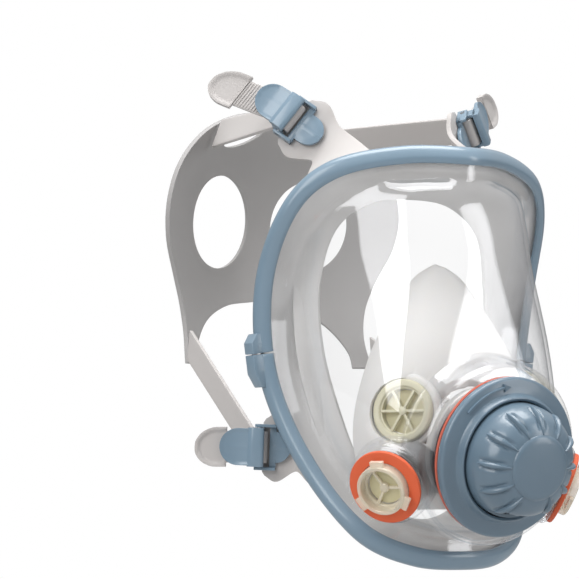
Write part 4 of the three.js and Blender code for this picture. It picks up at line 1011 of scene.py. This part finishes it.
def lever_shapes():
    """Thumb paddle with a crease down its middle, a bridge over the bar and two cheeks."""
    outline = rounded_end(LEVER_WIDTH, PADDLE_FROM, LEVER_LENGTH - PADDLE_FROM)

    def top(flat):
        gap = edge_distance(outline, flat)
        dish = 0.8 * np.sin(np.clip((flat[:, 1] - 5) / 16, 0, 1) * np.pi)
        crease = 0.25 * np.exp(-((flat[:, 0] / 0.5) ** 2))
        lip = 0.35 * (1 - smooth(0.6, 1.3, gap))
        height = LEVER_OVER + 2.4 - dish + crease + lip
        return np.concatenate([flat, height[:, None]], 1)

    def bottom(flat):
        return np.concatenate([flat, np.full((len(flat), 1), LEVER_OVER)], 1)

    bridge_side = rounded([(-3, LEVER_OVER), (-3, LEVER_OVER + 3.2), (-1.6, LEVER_OVER + 3.9),
                           (3.6, LEVER_OVER + 3.9), (6, LEVER_OVER + 2.2), (6, LEVER_OVER)], 0.8)
    bridge_points, bridge_faces = prism(bridge_side, -BASE_WIDTH / 2, BASE_WIDTH / 2)
    bridge = (bridge_points[:, [2, 0, 1]], bridge_faces)
    shapes = [plate(outline, [], 1.0, top, bottom), bridge]
    for k in (-1, 1):
        shapes.append(block(EAR_THICKNESS, 6.3, 8.9, k * (BASE_WIDTH - EAR_THICKNESS) / 2, 1.2, 2.25))
    return shapes


def base_shapes(buckle):
    """Rounded plate on the seal's tab with a crease, a cross bar and two ears."""
    outline = rounded_end(BASE_WIDTH - 4, PLATE_FROM, buckle["base"]) * np.array([1, -1])
    outline = outline[::-1]

    def top(flat):
        gap = edge_distance(outline, flat)
        crown = 0.35 * smooth(0, 4, gap) + 0.25 * np.exp(-((flat[:, 0] / 0.5) ** 2))
        return np.concatenate([flat, (PLATE_UNDER + 2.2 + crown)[:, None]], 1)

    def bottom(flat):
        return np.concatenate([flat, np.full((len(flat), 1), PLATE_UNDER)], 1)

    wide = BASE_WIDTH + 2 * (EAR_THICKNESS + GAP)
    shapes = [plate(outline, [], 1.0, top, bottom), block(wide, 3.5, 2.4, 0, -7.25, PLATE_UNDER + 1.2)]
    for k in (-1, 1):
        x = k * (wide - EAR_THICKNESS) / 2
        shapes.append(block(EAR_THICKNESS, 11.5, 5.6, x, -3.25, PLATE_UNDER + 2.8))
    return shapes


def build_buckles():
    for which, buckle in BUCKLES.items():
        for word, side in SIDES:
            name = f"{which}_{word}"
            matrix = buckle_matrix(buckle, side)
            piece(f"lever_paddle_{name}", lever_shapes(), BLUE, f"lever_{name}",
                  [f"buckle_lever_{name}"], place=matrix, bevel=0.45)
            piece(f"base_plate_{name}", base_shapes(buckle), BLUE, "mask",
                  [f"buckle_base_{name}"], place=matrix, bevel=0.4)
            bar = lathe([(0, -12.4), (1.5, -12.4), (1.7, -12.2), (1.7, 12.2), (1.5, 12.4), (0, 12.4)], 32)
            across_bar = moved(bar, Matrix.Rotation(math.pi / 2, 4, "Y"))
            piece(f"bar_{name}", [across_bar], STEEL, "mask", [f"buckle_bar_{name}"], place=matrix)
            foot = PLATE_UNDER - SEAL_WALL - 2 * GAP
            stud = [(0, foot - 1.6), (4.1, foot - 1.6), (4.5, foot - 1.2), (4.5, foot), (2.5, foot),
                    (2.5, PLATE_UNDER + 1.7), (2.1, PLATE_UNDER + 2), (0, PLATE_UNDER + 2)]
            place = matrix @ np.array(Matrix.Translation((0, -buckle["base"] / 2 - 3, 0)))
            piece(f"stud_{name}", [lathe(stud, 40)], STEEL, "mask", [f"buckle_stud_{name}"],
                  place=place)
            strap = piece(f"strap_band_{name}", [strap_body(buckle, side)], GREY_RUBBER, None,
                          thick=STRAP_WALL, bevel=0.5, sharp=50)
            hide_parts(f"strap_{name}")
            rows, _ = strap_path(buckle, side)
            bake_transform(strap)
            piece(f"pull_tab_{name}", [pull_tab(buckle, side)], GREY_RUBBER, "mask", sharp=72)
            piece(f"strap_ribs_{name}", tail_ribs(buckle, side), GREY_RUBBER, "mask", bevel=0.2)


# ------------------------------------------------------------ floor, light and camera

FLOOR_Z = -0.40


def build_stage():
    mesh = bpy.data.meshes.new("floor")
    reach = 6.0
    mesh.from_pydata([(-reach, -reach, FLOOR_Z), (reach, -reach, FLOOR_Z), (reach, reach, FLOOR_Z),
                      (-reach, reach, FLOOR_Z)], [], [(0, 1, 2, 3)])
    floor = bpy.data.objects.new("floor", mesh)
    bpy.context.scene.collection.objects.link(floor)
    made, nodes, link, shader = material("floor_white")
    put(shader, {"Base Color": (0.45, 0.45, 0.45, 1), "Roughness": 0.9})
    glow, mixed, seen = (nodes.new(f"ShaderNode{kind}") for kind in ("Emission", "MixShader", "LightPath"))
    link(seen.outputs["Is Camera Ray"], mixed.inputs["Fac"])
    link(shader.outputs["BSDF"], mixed.inputs[1])
    link(glow.outputs["Emission"], mixed.inputs[2])
    link(mixed.outputs["Shader"], nodes["Material Output"].inputs["Surface"])
    mesh.materials.append(made)
    world = bpy.data.worlds.new("studio")
    bpy.context.scene.world = world
    world.use_nodes = True
    nodes, link = world.node_tree.nodes, world.node_tree.links.new
    back = nodes["Background"]
    direction, parts = nodes.new("ShaderNodeTexCoord"), nodes.new("ShaderNodeSeparateXYZ")
    height, seen = nodes.new("ShaderNodeMapRange"), nodes.new("ShaderNodeLightPath")
    sky, shown = nodes.new("ShaderNodeValToRGB"), nodes.new("ShaderNodeMix")
    link(direction.outputs["Generated"], parts.inputs["Vector"])
    link(parts.outputs["Z"], height.inputs["Value"])
    put(height, {"From Min": -1})
    link(height.outputs["Result"], sky.inputs["Fac"])
    ramp = sky.color_ramp.elements
    ramp[0].position, ramp[0].color = 0.0, (0.22, 0.22, 0.23, 1)
    ramp[1].position, ramp[1].color = 1.0, (0.9, 0.9, 0.9, 1)
    for position, level in ((0.44, 0.1), (0.54, 0.2), (0.66, 0.45)):
        stop = ramp.new(position)
        stop.color = (level, level, level * 1.02, 1)
    shown.data_type = "RGBA"
    put(shown, {"B": (1, 1, 1, 1)})
    link(seen.outputs["Is Camera Ray"], shown.inputs["Factor"])
    link(sky.outputs["Color"], shown.inputs["A"])
    link(shown.outputs["Result"], back.inputs["Color"])


def softbox(name, place, aim, width, height, power):
    light = bpy.data.lights.new(name, "AREA")
    light.shape = "RECTANGLE"
    light.size, light.size_y, light.energy = width, height, power
    obj = bpy.data.objects.new(name, light)
    bpy.context.scene.collection.objects.link(obj)
    obj.location = place
    obj.rotation_euler = (Vector(aim) - Vector(place)).to_track_quat("-Z", "Y").to_euler()


def build_light():
    aim = (0, -0.03, 0.02)
    softbox("key", (-1.7, -0.7, 0.9), aim, 1.1, 1.6, 24)
    softbox("fill", (1.1, -1.6, 0.5), aim, 0.6, 1.5, 11)
    softbox("top", (0.0, -0.1, 1.6), aim, 1.2, 1.0, 24)


def build_camera():
    camera = bpy.data.cameras.new("camera")
    camera.lens, camera.sensor_width = 198.2, 36
    obj = bpy.data.objects.new("camera", camera)
    bpy.context.scene.collection.objects.link(obj)
    obj.location = (-1.0057, -1.4319, -0.0827)
    obj.rotation_euler = Vector((0.543, 0.837, 0.070)).to_track_quat("-Z", "Y").to_euler()
    bpy.context.scene.camera = obj
    bpy.context.scene.view_settings.view_transform = "Standard"


build_frame()
build_visor()
build_seal()
build_nose_cup()
build_side_ports()
build_centre()
build_cradle()
build_buckles()
build_stage()
build_light()
build_camera()
